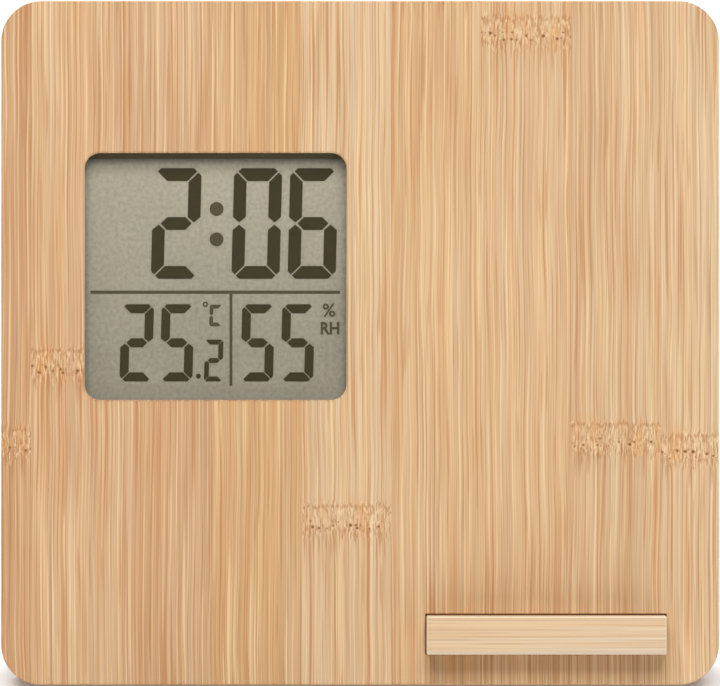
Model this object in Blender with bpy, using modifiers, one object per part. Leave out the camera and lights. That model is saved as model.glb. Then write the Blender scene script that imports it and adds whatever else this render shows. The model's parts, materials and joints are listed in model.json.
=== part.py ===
"""Home weather station: a bamboo panel with an LCD, a pull-out phone ledge and a fold-out stand.

Sizes are in millimetres, in the panel's own frame: x to the right, y back from the front face and
z up from the bottom edge. The panel leans back on its base pads and its open stand leg, and an empty
puts that frame in the world, where the station stands on z = 0 with its middle at the origin.
"""

from math import cos, pi, radians, sin, tan

import bmesh
import bpy
from mathutils import Matrix, Vector

MM = 0.001
GAP = 0.3  # air left between pieces that touch on the real thing

# Stance
LEAN = radians(20)
STAND_OPEN = radians(40)

# Bamboo panel
WIDTH = 160.0
HEIGHT = 152.5
THICK = 14.0
CORNER = 9.0
SKIN = 3.0  # bamboo left in front of the pocket
RIM = 4.5  # bamboo left round the rear cover
REBATE = 2.0  # depth of the step that the rear cover sits in
POCKET_X = 72.5
POCKET_Z = (20.0, 136.0)
LAND = (60.0, 30.0)  # corner left solid for the lower right screw: its left edge and its top
FACET_START = 9.0  # depth where the planed underside begins
PAD_PROUD = 0.3
PAD_SINK = 1.0
BASE_PAD = (26.0, 3.8, 1.0)
BASE_PAD_X = 52.0

# Display
WINDOW = (58.4, 55.1)
WINDOW_CENTRE = (-32.2, 91.1)
WINDOW_CORNER = 3.5
LENS = (66.0, 62.5, 1.0)
GLASS_THICK = 1.1
CONTACT_LEDGE = 2.65  # strip of front glass left bare for the elastomer connector
FRAME_SIZE = (72.0, 72.2)
FRAME_Y = (3.3, 8.9)
BOARD_THICK = 1.6
PCB_Y = FRAME_Y[1] + GAP
PCB_BACK = PCB_Y + BOARD_THICK

# Phone ledge
LEDGE = (53.3, 8.57)
LEDGE_CENTRE = (41.45, 11.34)
LEDGE_OUT = 11.0
LEDGE_SLOT_GAP = 0.35
LEDGE_GUIDE = 5.6  # bamboo that the ledge slides through
STOP_PLATE = (58.0, 0.8)
STOP_PLATE_Z = (7.05, 18.0)

# Rear cover
COVER_BACK = 22.0
COVER_EDGE = RIM + 0.35
COVER_WALL = 1.8
COVER_Y = THICK - REBATE + GAP
COVER_INNER = COVER_BACK - COVER_WALL
COVER_CORNER = 4.5
SCREWS = ((-66.0, 142.0), (66.0, 142.0), (-66.0, 12.5), (66.0, 24.5))
SCREW_SEAT = 15.0
BOSS_R = 3.4
HEAD_R = 2.0
SHANK_R = 1.0

# Stand
LEG_WIDTH = 38.0
LEG_THICK = 2.4
HINGE_Y = 20.8
HINGE_Z = 104.0
HEEL = 4.0  # length of leg above the hinge, which meets the stop
BARREL_R = 2.5
PIN_R = 1.0
PIN_LENGTH = 44.0
RECESS_FLOOR = 19.3
RECESS_WALL = 1.3
FOOT_PAD = 3.0
FOOT_PAD_BACK = 2.6

# Buttons
BUTTON_NAMES = ("set", "up", "down", "unit")
BUTTON_X = (-64.0, -54.0, -44.0, -34.0)
BUTTON_Z = 119.0
BUTTON_R = 3.0
BUTTON_PROUD = 0.9
SWITCH_SIZE = (6.0, 3.3)

# Batteries
TRAY_X = (-71.6, -21.6)
TRAY_Z = (23.6, 49.8)
TRAY_Y = (7.6, 18.5)
TRAY_WALL = 1.0
CELL_R = 5.25
CELL_LENGTH = 44.5
CELL_NUB = 1.2
CELL_Y = 14.2
CELL_Z = (30.35, 43.05)
CELL_GAP = (2.5, 1.0)  # room at a cell's flat end and at its nub
DOOR = (50.4, 26.6, 1.4)
CONTACT = 0.4

# Wireless charger
COIL_CENTRE = (41.4, 88.0)
COIL_WIRE = 1.2
COIL_TURNS = 9
COIL_INNER = 10.0
COIL_Y = SKIN + 0.4 + COIL_WIRE / 2
FERRITE = (50.0, 1.0)
CARRIER_X = (15.0, 68.0)
CARRIER_Z = (32.0, 114.0)
CARRIER_Y = (6.2, 8.2)
CHARGER_X = (26.0, 70.0)
CHARGER_Z = (30.0, 76.0)
CHARGER_Y = 14.8
POSTS = ((31.0, 35.0), (31.0, 71.0), (64.0, 71.0), (64.0, 35.0))
USB = (9.0, 3.2, 7.1)
USB_Z = 46.0

# (red, green, blue), roughness, metallic
FINISHES = {
    "bamboo": ((0.74, 0.47, 0.25), 0.5, 0.0),
    "clear": ((0.9, 0.92, 0.9), 0.05, 0.0),
    "film": ((0.39, 0.37, 0.27), 0.4, 0.0),
    "white_plastic": ((0.72, 0.71, 0.68), 0.5, 0.0),
    "cover": ((0.74, 0.72, 0.67), 0.5, 0.0),
    "board": ((0.02, 0.16, 0.07), 0.4, 0.0),
    "black_plastic": ((0.02, 0.02, 0.02), 0.45, 0.0),
    "rubber": ((0.03, 0.03, 0.03), 0.85, 0.0),
    "steel": ((0.6, 0.6, 0.6), 0.3, 1.0),
    "copper": ((0.7, 0.3, 0.14), 0.35, 1.0),
    "ferrite": ((0.06, 0.06, 0.065), 0.6, 0.0),
    "cell": ((0.05, 0.13, 0.3), 0.35, 0.0),
    "red_wire": ((0.5, 0.02, 0.02), 0.5, 0.0),
    "grey_wire": ((0.3, 0.3, 0.31), 0.5, 0.0),
}

TOUCH = 1e-7  # two heights closer than this, in metres, are the same
AXES = {"x": 0, "y": 1, "z": 2}
TURN = {
    "x": Matrix.Rotation(pi / 2, 4, "Y"),
    "y": Matrix.Rotation(-pi / 2, 4, "X"),
    "z": Matrix.Identity(4),
}


# --- scene helpers -------------------------------------------------------------------------------


def clear_scene():
    for ob in list(bpy.data.objects):
        bpy.data.objects.remove(ob, do_unlink=True)


def collection(name):
    made = bpy.data.collections.new(name)
    bpy.context.scene.collection.children.link(made)
    return made


def material(node, finish):
    colour, rough, metal = FINISHES[finish]
    made = bpy.data.materials.new(node + "_finish")
    made.use_nodes = True
    shader = made.node_tree.nodes["Principled BSDF"]
    shader.inputs["Base Color"].default_value = (*colour, 1)
    shader.inputs["Roughness"].default_value = rough
    shader.inputs["Metallic"].default_value = metal
    made.diffuse_color = (*colour, 1)
    return made


def empty(name, parent=None):
    made = bpy.data.objects.new(name, None)
    PARTS.objects.link(made)
    made.parent = parent
    return made


def place(ob, at, parent):
    ob.location = Vector(at) * MM
    ob.parent = parent


def part(name, data, finish, at=(0, 0, 0), parent=None):
    """A named piece in the panel's frame, or in its parent's."""
    ob = bpy.data.objects.new(name, data)
    PARTS.objects.link(ob)
    data.materials.append(material(name, finish))
    place(ob, at, parent or STATION)
    return ob


def tool(name, data, at=(0, 0, 0), parent=None):
    """A shape that is joined to a piece or cut out of it, and isn't one itself."""
    ob = bpy.data.objects.new(name, data)
    TOOLS.objects.link(ob)
    ob.hide_render = True
    ob.display_type = "WIRE"
    place(ob, at, parent or STATION)
    return ob


def boolean(ob, other, operation):
    mod = ob.modifiers.new(other.name, "BOOLEAN")
    mod.operation = operation
    mod.solver = "EXACT"
    mod.object = other


def cut(ob, *others):
    for other in others:
        boolean(ob, other, "DIFFERENCE")


def join(ob, *others):
    for other in others:
        boolean(ob, other, "UNION")


# --- shapes, centred on their object's origin unless they say otherwise --------------------------


def finish_mesh(name, bm):
    bmesh.ops.recalc_face_normals(bm, faces=bm.faces)
    mesh = bpy.data.meshes.new(name)
    bm.to_mesh(mesh)
    bm.free()
    return mesh


def box_mesh(name, size, corner=0.0, rim=0.0, axis="y", segments=5, rim_sides=(-1, 1)):
    """A box whose edges along axis are rounded by corner, and whose rims on the given sides by rim."""
    index = AXES[axis]
    bm = bmesh.new()
    bmesh.ops.create_cube(bm, size=1)
    bmesh.ops.scale(bm, vec=Vector(size) * MM, verts=bm.verts)
    if corner:
        along = [e for e in bm.edges if abs((e.verts[0].co - e.verts[1].co)[index]) > TOUCH]
        bmesh.ops.bevel(bm, geom=along, offset=corner * MM, segments=segments, profile=0.5, affect="EDGES")
    if rim:
        ends = [side * size[index] * MM / 2 for side in rim_sides]
        edges = [e for e in bm.edges for end in ends if all(abs(v.co[index] - end) < TOUCH for v in e.verts)]
        bmesh.ops.bevel(bm, geom=edges, offset=rim * MM, segments=3, profile=0.5, affect="EDGES")
    return finish_mesh(name, bm)


def span_box(name, x, y, z, make=tool, finish=None, parent=None, **rounding):
    """A box between (low, high) limits, as a piece or as a tool."""
    limits = (x, y, z)
    size = [high - low for low, high in limits]
    middle = [(low + high) / 2 for low, high in limits]
    mesh = box_mesh(name, size, **rounding)
    if make is part:
        return part(name, mesh, finish, middle, parent)
    return tool(name, mesh, middle, parent)


def rod_mesh(name, radius, length, axis="y", sides=16):
    bm = bmesh.new()
    bmesh.ops.create_cone(
        bm, cap_ends=True, segments=sides, radius1=radius * MM, radius2=radius * MM, depth=length * MM
    )
    bmesh.ops.transform(bm, matrix=TURN[axis], verts=bm.verts)
    mesh = finish_mesh(name, bm)
    mesh.shade_smooth()
    mesh.set_sharp_from_angle(angle=radians(40))
    return mesh


def turned(name, profile, finish, at, axis="y", sides=20, parent=None):
    """A piece turned from (radius, height) points that run from its top down its outer side."""
    bm = bmesh.new()
    verts = [bm.verts.new((radius * MM, 0, height * MM)) for radius, height in profile]
    for above, below in zip(verts, verts[1:]):
        bm.edges.new((above, below))
    mesh = bpy.data.meshes.new(name)
    bm.to_mesh(mesh)
    bm.free()
    ob = part(name, mesh, finish, at, parent)
    ob.rotation_euler = TURN[axis].to_euler()
    screw = ob.modifiers.new("turn", "SCREW")
    screw.steps = screw.render_steps = sides
    screw.use_merge_vertices = True
    screw.merge_threshold = 0.00001
    return ob


def arc(centre, radius, start, end, steps):
    """Points on an arc, from start to end in radians, for a turned profile."""
    turns = [start + (end - start) * i / steps for i in range(steps + 1)]
    return [(centre[0] + radius * cos(a), centre[1] + radius * sin(a)) for a in turns]


def outline_mesh(name, points, length):
    """A solid with a (y, z) outline, as long as given along x."""
    curve = bpy.data.curves.new(name, "CURVE")
    curve.dimensions = "2D"
    curve.fill_mode = "BOTH"
    curve.extrude = length * MM / 2
    spline = curve.splines.new("POLY")
    spline.points.add(len(points) - 1)
    for point, (y, z) in zip(spline.points, points):
        point.co = (y * MM, z * MM, 0, 1)
    spline.use_cyclic_u = True
    flat = bpy.data.objects.new(name, curve)
    bpy.context.scene.collection.objects.link(flat)
    evaluated = flat.evaluated_get(bpy.context.evaluated_depsgraph_get())
    mesh = bpy.data.meshes.new_from_object(evaluated)
    bpy.data.objects.remove(flat)
    upright = Matrix(((0, 0, 1, 0), (1, 0, 0, 0), (0, 1, 0, 0), (0, 0, 0, 1)))
    bm = bmesh.new()
    bm.from_mesh(mesh)
    bpy.data.meshes.remove(mesh)
    bmesh.ops.remove_doubles(bm, verts=bm.verts, dist=TOUCH)
    bmesh.ops.transform(bm, matrix=upright, verts=bm.verts)
    return finish_mesh(name, bm)


def wire(name, points, thickness, finish):
    """A round wire along points in millimetres."""
    curve = bpy.data.curves.new(name, "CURVE")
    curve.dimensions = "3D"
    curve.bevel_depth = thickness * MM / 2
    curve.bevel_resolution = 2
    curve.use_fill_caps = True
    spline = curve.splines.new("POLY")
    spline.points.add(len(points) - 1)
    for point, place_at in zip(spline.points, points):
        point.co = (*(Vector(place_at) * MM), 1)
    return part(name, curve, finish)


def smooth_route(route, spacing):
    """Points about spacing apart on a smooth curve through every point of the route."""
    knots = [Vector(p) for p in route]
    knots = [2 * knots[0] - knots[1], *knots, 2 * knots[-1] - knots[-2]]
    points = []
    for before, start, end, after in zip(knots, knots[1:], knots[2:], knots[3:]):
        steps = max(1, round((end - start).length / spacing))
        for i in range(steps):
            t = i / steps
            points.append(
                0.5 * (2 * start + (end - before) * t + (2 * before - 5 * start + 4 * end - after) * t**2
                       + (3 * start - 3 * end + after - before) * t**3)
            )
    return [*points, knots[-2]]


# --- pieces --------------------------------------------------------------------------------------


def make_panel():
    """The bamboo board with its window, ledge slot and the pockets behind."""
    panel = span_box(
        "bamboo_panel", (-WIDTH / 2, WIDTH / 2), (0, THICK), (0, HEIGHT), part, "bamboo",
        corner=CORNER, rim=0.5, segments=7,
    )
    inner = WIDTH / 2 - RIM
    wx, wz = WINDOW_CENTRE
    lx, lz = LEDGE_CENTRE
    slot_x = LEDGE[0] / 2 + LEDGE_SLOT_GAP
    slot_z = LEDGE[1] / 2 + LEDGE_SLOT_GAP
    floor = THICK - REBATE
    low, high = POCKET_Z
    cut(
        panel,
        span_box("rebate_cut", (-inner, inner), (floor, THICK + 5), (RIM, HEIGHT - RIM), corner=COVER_CORNER),
        span_box("pocket_cut", (-POCKET_X, LAND[0]), (SKIN, floor + 1), (low, high), corner=3, segments=3),
        span_box(
            "side_pocket_cut", (LAND[0] - 5, POCKET_X), (SKIN, floor + 1), (LAND[1], high),
            corner=3, segments=3,
        ),
        span_box(
            "window_cut", (wx - WINDOW[0] / 2, wx + WINDOW[0] / 2), (-1, SKIN + 1),
            (wz - WINDOW[1] / 2, wz + WINDOW[1] / 2), corner=WINDOW_CORNER,
        ),
        span_box(
            "ledge_slot_cut", (lx - slot_x, lx + slot_x), (-1, LEDGE_GUIDE + 1), (lz - slot_z, lz + slot_z)
        ),
        span_box(
            "stop_pocket_cut", (lx - STOP_PLATE[0] / 2 - 0.4, lx + STOP_PLATE[0] / 2 + 0.4),
            (LEDGE_GUIDE, floor + 1), (STOP_PLATE_Z[0] - 0.4, low + 1),
        ),
    )
    for number, (x, z) in enumerate(SCREWS, 1):
        pilot = rod_mesh(f"pilot_{number}", SHANK_R + GAP, 9, sides=12)
        cut(panel, tool(f"pilot_{number}", pilot, (x, floor - 2.5, z)))
    ground = Vector((0, 0, -50 + PAD_PROUD))
    cut(panel, tool("facet_cut", box_mesh("facet_cut", (300, 300, 100)), ground, FLOOR))
    return panel


def make_base_pads(panel):
    """Rubber strips let into the planed underside, flat on the table."""
    length, depth, thick = BASE_PAD
    margin = 0.75
    back = FACET_START * cos(LEAN) + margin + depth / 2
    for side, name in ((-1, "base_pad_left"), (1, "base_pad_right")):
        room = box_mesh(name + "_cut", (length + 2 * GAP, depth + 2 * GAP, 10))
        at = (side * BASE_PAD_X, back, PAD_PROUD + PAD_SINK - 5)
        cut(panel, tool(name + "_cut", room, at, FLOOR))
        pad = box_mesh(name, BASE_PAD, corner=1.2, axis="z", segments=3)
        part(name, pad, "rubber", (side * BASE_PAD_X, back, thick / 2), FLOOR)


def make_display():
    """The lens, the liquid crystal cell, its reflector and its board, from front to back in one frame."""
    x, z = WINDOW_CENTRE
    wide, high, thick = LENS
    across = (x - wide / 2, x + wide / 2)
    up = (z - high / 2, z + high / 2)
    front = SKIN + GAP
    span_box("display_lens", across, (front, front + thick), up, part, "clear", corner=1.5, segments=3)
    glass = front + thick + GAP
    span_box("lcd_front_glass", across, (glass, glass + GLASS_THICK), up, part, "clear")
    rear = glass + GLASS_THICK + GAP
    bare = (up[0] + CONTACT_LEDGE, up[1])
    span_box("lcd_rear_glass", across, (rear, rear + GLASS_THICK), bare, part, "clear")
    film = rear + GLASS_THICK + GAP
    span_box("lcd_reflector", across, (film, film + 0.3), bare, part, "film")
    strip = (up[0] + GAP, up[0] + CONTACT_LEDGE - 0.35)
    span_box("zebra_connector", (x - 30, x + 30), (rear, FRAME_Y[1]), strip, part, "rubber")
    frame_x = (x - FRAME_SIZE[0] / 2, x + FRAME_SIZE[0] / 2)
    frame_z = (z - FRAME_SIZE[1] / 2, z + FRAME_SIZE[1] / 2)
    frame = span_box("lcd_frame", frame_x, FRAME_Y, frame_z, part, "white_plastic", corner=2, segments=3)
    room = 0.35
    hollow = (across[0] - room, across[1] + room), (0, 12), (up[0] - room, up[1] + room)
    cut(frame, span_box("lcd_frame_cut", *hollow))
    board = span_box(
        "main_pcb", frame_x, (PCB_Y, PCB_BACK), frame_z, part, "board", corner=2, segments=3
    )
    make_board_screws(frame, board, frame_x, frame_z)


def make_board_screws(frame, board, frame_x, frame_z):
    inset = 2.4
    sides = (frame_x[0] + inset, frame_x[1] - inset)
    ends = (frame_z[0] + inset, frame_z[1] - inset)
    corners = [(x, z) for x in sides for z in ends]
    head_r, head_high, shank, reach = 1.4, 0.9, 0.6, 5.0
    for number, (x, z) in enumerate(corners, 1):
        hole = rod_mesh(f"board_hole_{number}", shank + GAP, 14, sides=8)
        hole = tool(f"board_hole_{number}", hole, (x, 5, z))
        cut(frame, hole)
        cut(board, hole)
        seat = PCB_BACK + GAP
        make_screw(f"board_screw_{number}", (x, seat, z), head_r, shank, reach, head_high, sides=12)


def make_screw(name, at, head_r, shank_r, length, head_high, sides=16):
    """A pan-head screw with a cross recess, its head on the given point and its shank running forward."""
    dome = arc((0, 0), 1, pi / 2, 0.35, 3)
    profile = [(head_r * c, head_high * s) for c, s in dome]
    profile += [(head_r, 0), (shank_r, 0), (shank_r, -length + shank_r), (0, -length)]
    profile[0] = (0, head_high)
    screw = turned(name, profile, "steel", at, sides=sides)
    deep, long, thin = head_high * 0.55, head_r * 1.1, head_r * 0.28
    for number, size in enumerate(((long, 2 * deep, thin), (thin, 2 * deep, long)), 1):
        bar_name = f"{name}_cross_{number}"
        bar = tool(bar_name, box_mesh(bar_name, size), Vector(at) + Vector((0, head_high, 0)))
        cut(screw, bar)


def make_main_board_parts():
    """The controller, its crystal, the buzzer and a switch under each button."""
    on_board = PCB_BACK + GAP
    chip = [(0, 1.6), *[(5.5 * c, 1.6 * s) for c, s in arc((0, 0), 1, pi / 2, 0.1, 4)[1:]], (5.5, 0), (0, 0)]
    turned("controller_chip", chip, "black_plastic", (-36, on_board, 84), sides=20)
    can = [(0, 8), (1.2, 8), (1.5, 7.7), (1.5, 0.3), (1.2, 0), (0, 0)]
    turned("clock_crystal", can, "steel", (-55, on_board + 1.5, 86), axis="z", sides=12)
    sounder = [(0, 3.4), (1.0, 3.4), (1.0, 5), (5.7, 5), (6, 4.7), (6, 0), (0, 0)]
    turned("buzzer", sounder, "black_plastic", (-56, on_board, 66), sides=24)
    side, high = SWITCH_SIZE
    for name, x in zip(BUTTON_NAMES, BUTTON_X):
        body = part(
            f"switch_{name}", box_mesh(f"switch_{name}", (side, high, side), corner=0.6, segments=1),
            "black_plastic", (x, on_board + high / 2, BUTTON_Z),
        )
        plunger = rod_mesh(f"plunger_{name}", 1.7, 1.6, sides=12)
        join(body, tool(f"plunger_{name}", plunger, (x, on_board + high, BUTTON_Z)))


def make_buttons(cover):
    """Caps that hang in the cover's holes, each over its own switch."""
    crown = BUTTON_PROUD
    low = 17.1 - COVER_BACK
    flange = COVER_INNER - GAP - COVER_BACK
    profile = [
        (0, crown), (BUTTON_R - 0.5, crown), (BUTTON_R - 0.15, crown - 0.15), (BUTTON_R, crown - 0.5),
        (BUTTON_R, flange), (4.0, flange), (4.0, flange - 0.7), (1.5, flange - 0.7), (1.5, low), (0, low),
    ]
    for name, x in zip(BUTTON_NAMES, BUTTON_X):
        turned(f"button_{name}", profile, "rubber", (x, COVER_BACK, BUTTON_Z), sides=24)
        hole = rod_mesh(f"button_hole_{name}", BUTTON_R + 0.35, 10, sides=24)
        cut(cover, tool(f"button_hole_{name}", hole, (x, COVER_BACK, BUTTON_Z)))


def make_sensor():
    """The temperature and humidity sensor, on its own board behind the left vents."""
    back = 17.4
    span_box("sensor_board", (-54, -40), (back - 1, back), (130, 140), part, "board", corner=1, segments=2)
    span_box("humidity_sensor", (-49, -45), (back + GAP, back + 1.5), (134, 138), part, "black_plastic",
             corner=0.3, segments=1)


def make_ledge():
    """The pull-out ledge at the end of its travel, and the plate that stops it and holds it square."""
    lx, lz = LEDGE_CENTRE
    half_x, half_z = LEDGE[0] / 2, LEDGE[1] / 2
    bar_y = (-LEDGE_OUT, LEDGE_GUIDE)
    span_box("phone_ledge", (lx - half_x, lx + half_x), bar_y, (lz - half_z, lz + half_z), part, "bamboo",
             corner=0.25, segments=1)
    plate_y = (LEDGE_GUIDE + GAP, LEDGE_GUIDE + GAP + STOP_PLATE[1])
    half = STOP_PLATE[0] / 2
    span_box("ledge_stop", (lx - half, lx + half), plate_y, STOP_PLATE_Z, part, "steel", corner=1, segments=2)


def make_cover():
    """The rear cover with its screw bosses and the blocks behind its recesses."""
    half = WIDTH / 2 - COVER_EDGE
    low, high = COVER_EDGE, HEIGHT - COVER_EDGE
    cover = span_box("rear_cover", (-half, half), (COVER_Y, COVER_BACK), (low, high), part, "cover",
                     corner=COVER_CORNER, rim=1.6, rim_sides=(1,))
    wall = COVER_WALL
    cut(cover, span_box(
        "cover_hollow", (-half + wall, half - wall), (0, COVER_INNER), (low + wall, high - wall),
        corner=COVER_CORNER - wall,
    ))
    into = COVER_INNER + 0.2
    channel = LEG_WIDTH / 2 + 0.4 + 1.5
    join(
        cover,
        span_box(
            "channel_block", (-channel, channel), (RECESS_FLOOR - RECESS_WALL, into), (low + 0.9, HINGE_Z + 6)
        ),
        span_box("hinge_block", (-PIN_LENGTH / 2 - 0.4, PIN_LENGTH / 2 + 0.4), (15.5, into), (98, 112)),
        span_box("door_block", (-half + 0.9, -20.2), (18.8, into), (21, 52.4)),
        tool("hinge_ears", rod_mesh("hinge_ears", BARREL_R, PIN_LENGTH + 0.8, "x", 20), (0, HINGE_Y, HINGE_Z)),
    )
    for number, (x, z) in enumerate(SCREWS, 1):
        boss = rod_mesh(f"boss_{number}", BOSS_R, into - COVER_Y, sides=20)
        join(cover, tool(f"boss_{number}", boss, (x, (into + COVER_Y) / 2, z)))
        well = rod_mesh(f"screw_well_{number}", HEAD_R + 0.5, 2 * (COVER_BACK - SCREW_SEAT), sides=20)
        hole = rod_mesh(f"screw_hole_{number}", SHANK_R + GAP, 20, sides=12)
        cut(cover, tool(f"screw_well_{number}", well, (x, COVER_BACK, z)))
        cut(cover, tool(f"screw_hole_{number}", hole, (x, SCREW_SEAT, z)))
        make_screw(f"cover_screw_{number}", (x, SCREW_SEAT + GAP, z), HEAD_R, SHANK_R, 9, 1.3)
    cut_stand_room(cover)
    cut_vents(cover)
    return cover


def cut_stand_room(cover):
    """The channel that the folded leg lies in, and the hinge's own room with its stop."""
    side = LEG_WIDTH / 2 + 0.4
    cut(cover, span_box("leg_channel", (-side, side), (RECESS_FLOOR, 30), (-5, HINGE_Z + HEEL + 0.5)))
    swing = tool("heel_swing", rod_mesh("heel_swing", HEEL + 0.7, 2 * side, "x", 24), (0, HINGE_Y, HINGE_Z))
    stop = box_mesh("heel_stop", (60, 20, 40))
    stop = tool("heel_stop", stop, (0, -LEG_THICK / 2 - GAP - 10, 0), STAND_AXIS)
    cut(swing, stop)
    cut(cover, swing)
    barrel = rod_mesh("barrel_room", BARREL_R + 0.4, 2 * side, "x", 20)
    hole = rod_mesh("pin_hole", PIN_R + GAP, PIN_LENGTH + 10, "x", 12)
    cut(cover, tool("barrel_room", barrel, (0, HINGE_Y, HINGE_Z)))
    cut(cover, tool("pin_hole", hole, (0, HINGE_Y, HINGE_Z)))


def cut_vents(cover):
    """Two rows of slots: air for the sensor on one side and for the charger on the other."""
    pitch, count = 4.2, 6
    for side in (-1, 1):
        for i in range(count):
            x = side * (34.5 + i * pitch)
            name = f"vent_{'left' if side < 0 else 'right'}_{i + 1}"
            cut(cover, span_box(name, (x - 0.8, x + 0.8), (15, 30), (130, 141), corner=0.5, segments=1))


def make_stand():
    """The open leg, its pin and its rubber foot. The leg's frame has its hinge axis as origin."""
    floor_slope = tan(STAND_OPEN - LEAN)
    top = -LEG_REACH + FOOT_PAD
    half = LEG_THICK / 2
    foot = [
        (-half, top), (-half, -LEG_REACH + half * floor_slope),
        (FOOT_PAD_BACK, -LEG_REACH - FOOT_PAD_BACK * floor_slope), (FOOT_PAD_BACK, top),
    ]
    part("stand_foot", outline_mesh("stand_foot", foot, LEG_WIDTH), "rubber", parent=STAND_AXIS)
    leg_z = (top + GAP, HEEL)
    leg = span_box("stand_leg", (-LEG_WIDTH / 2, LEG_WIDTH / 2), (-half, half), leg_z, part, "cover",
                   parent=STAND_AXIS, corner=0.5, segments=1)
    barrel = rod_mesh("leg_barrel", BARREL_R, LEG_WIDTH, "x", 20)
    join(leg, tool("leg_barrel", barrel, parent=STAND_AXIS))
    bore = rod_mesh("leg_bore", PIN_R + GAP, LEG_WIDTH + 10, "x", 12)
    cut(leg, tool("leg_bore", bore, parent=STAND_AXIS))
    cut(leg, span_box("leg_grip", (-9, 9), (half - 0.8, 5), (-LEG_REACH + 12, -LEG_REACH + 24),
                      parent=STAND_AXIS, corner=4, segments=4))
    part("hinge_pin", rod_mesh("hinge_pin", PIN_R, PIN_LENGTH, "x", 12), "steel", (0, HINGE_Y, HINGE_Z))


def make_batteries(cover):
    (x0, x1), (y0, y1), (z0, z1) = TRAY_X, TRAY_Y, TRAY_Z
    wall = TRAY_WALL
    inner_x = (x0 + wall, x1 - wall)
    inner_z = (z0 + wall, z1 - wall)
    tray = span_box("battery_tray", TRAY_X, TRAY_Y, TRAY_Z, part, "cover")
    cut(tray, span_box("tray_hollow", inner_x, (y0 + wall, y1 + 5), inner_z))
    middle = (z0 + z1) / 2
    join(tray, span_box(
        "tray_divider", (inner_x[0] + 6, inner_x[1] - 6), (y0 + 0.5, y0 + 4), (middle - 0.6, middle + 0.6)
    ))
    cut(cover, span_box("door_opening", inner_x, (10, 30), inner_z))
    door_x = ((x0 + x1) / 2 - DOOR[0] / 2, (x0 + x1) / 2 + DOOR[0] / 2)
    door_z = (middle - DOOR[1] / 2, middle + DOOR[1] / 2)
    seat = COVER_BACK - DOOR[2] - GAP
    cut(cover, span_box(
        "door_rebate", (door_x[0] - GAP, door_x[1] + GAP), (seat, 30), (door_z[0] - GAP, door_z[1] + GAP)
    ))
    door = span_box("battery_door", door_x, (COVER_BACK - DOOR[2], COVER_BACK), door_z, part, "cover")
    grooves, pitch, half_wide, half_high, deep = 4, 1.8, 0.4, 6, 0.5
    for i in range(grooves):
        x = door_x[1] - 9 + i * pitch
        cut(door, span_box(
            f"door_groove_{i + 1}", (x - half_wide, x + half_wide), (COVER_BACK - deep, 30),
            (middle - half_high, middle + half_high),
        ))
    make_cells(inner_x)
    make_contacts(inner_x)


def make_cells(inner_x):
    """Two AAA cells, the upper one the other way round."""
    body = CELL_LENGTH - CELL_NUB
    profile = [
        (0, CELL_LENGTH), (1.9, CELL_LENGTH), (1.9, body + 0.2), (3.4, body), (CELL_R - 0.5, body),
        (CELL_R, body - 0.5), (CELL_R, 0.5), (CELL_R - 0.5, 0), (0, 0),
    ]
    turned("battery_cell_1", profile, "cell", (inner_x[0] + CELL_GAP[0], CELL_Y, CELL_Z[0]), axis="x")
    other = turned("battery_cell_2", profile, "cell", (inner_x[1] - CELL_GAP[0], CELL_Y, CELL_Z[1]), axis="x")
    other.rotation_euler = (TURN["x"] @ Matrix.Rotation(pi, 4, "X")).to_euler()


def make_contacts(inner_x):
    """Nickel contacts: one plate for both cells on the right, and one each on the left."""
    y = (CELL_Y - 4, CELL_Y + 4)
    left = (inner_x[0] + GAP, inner_x[0] + GAP + CONTACT)
    right = (inner_x[1] - GAP - CONTACT, inner_x[1] - GAP)
    span_box("contact_negative", left, y, (CELL_Z[0] - 4, CELL_Z[0] + 4), part, "steel")
    span_box("contact_positive", left, y, (CELL_Z[1] - 4, CELL_Z[1] + 4), part, "steel")
    span_box("contact_bridge", right, y, (CELL_Z[0] - 4, CELL_Z[1] + 4), part, "steel")
    room = CELL_GAP[0] - 3 * GAP - CONTACT
    turns, per_turn, thin = 2.0, 10, 0.4
    ends = ((left[1] + GAP, 1, CELL_Z[0]), (right[0] - GAP, -1, CELL_Z[1]))
    for number, (start, way, z) in enumerate(ends, 1):
        points = []
        for i in range(int(turns * per_turn) + 1):
            share = i / (turns * per_turn)
            angle = 2 * pi * turns * share
            radius = 3.4 - 1.6 * share
            along = start + way * (thin / 2 + (room - thin) * share)
            points.append((along, CELL_Y + radius * cos(angle), z + radius * sin(angle)))
        wire(f"battery_spring_{number}", points, thin, "steel")


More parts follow.
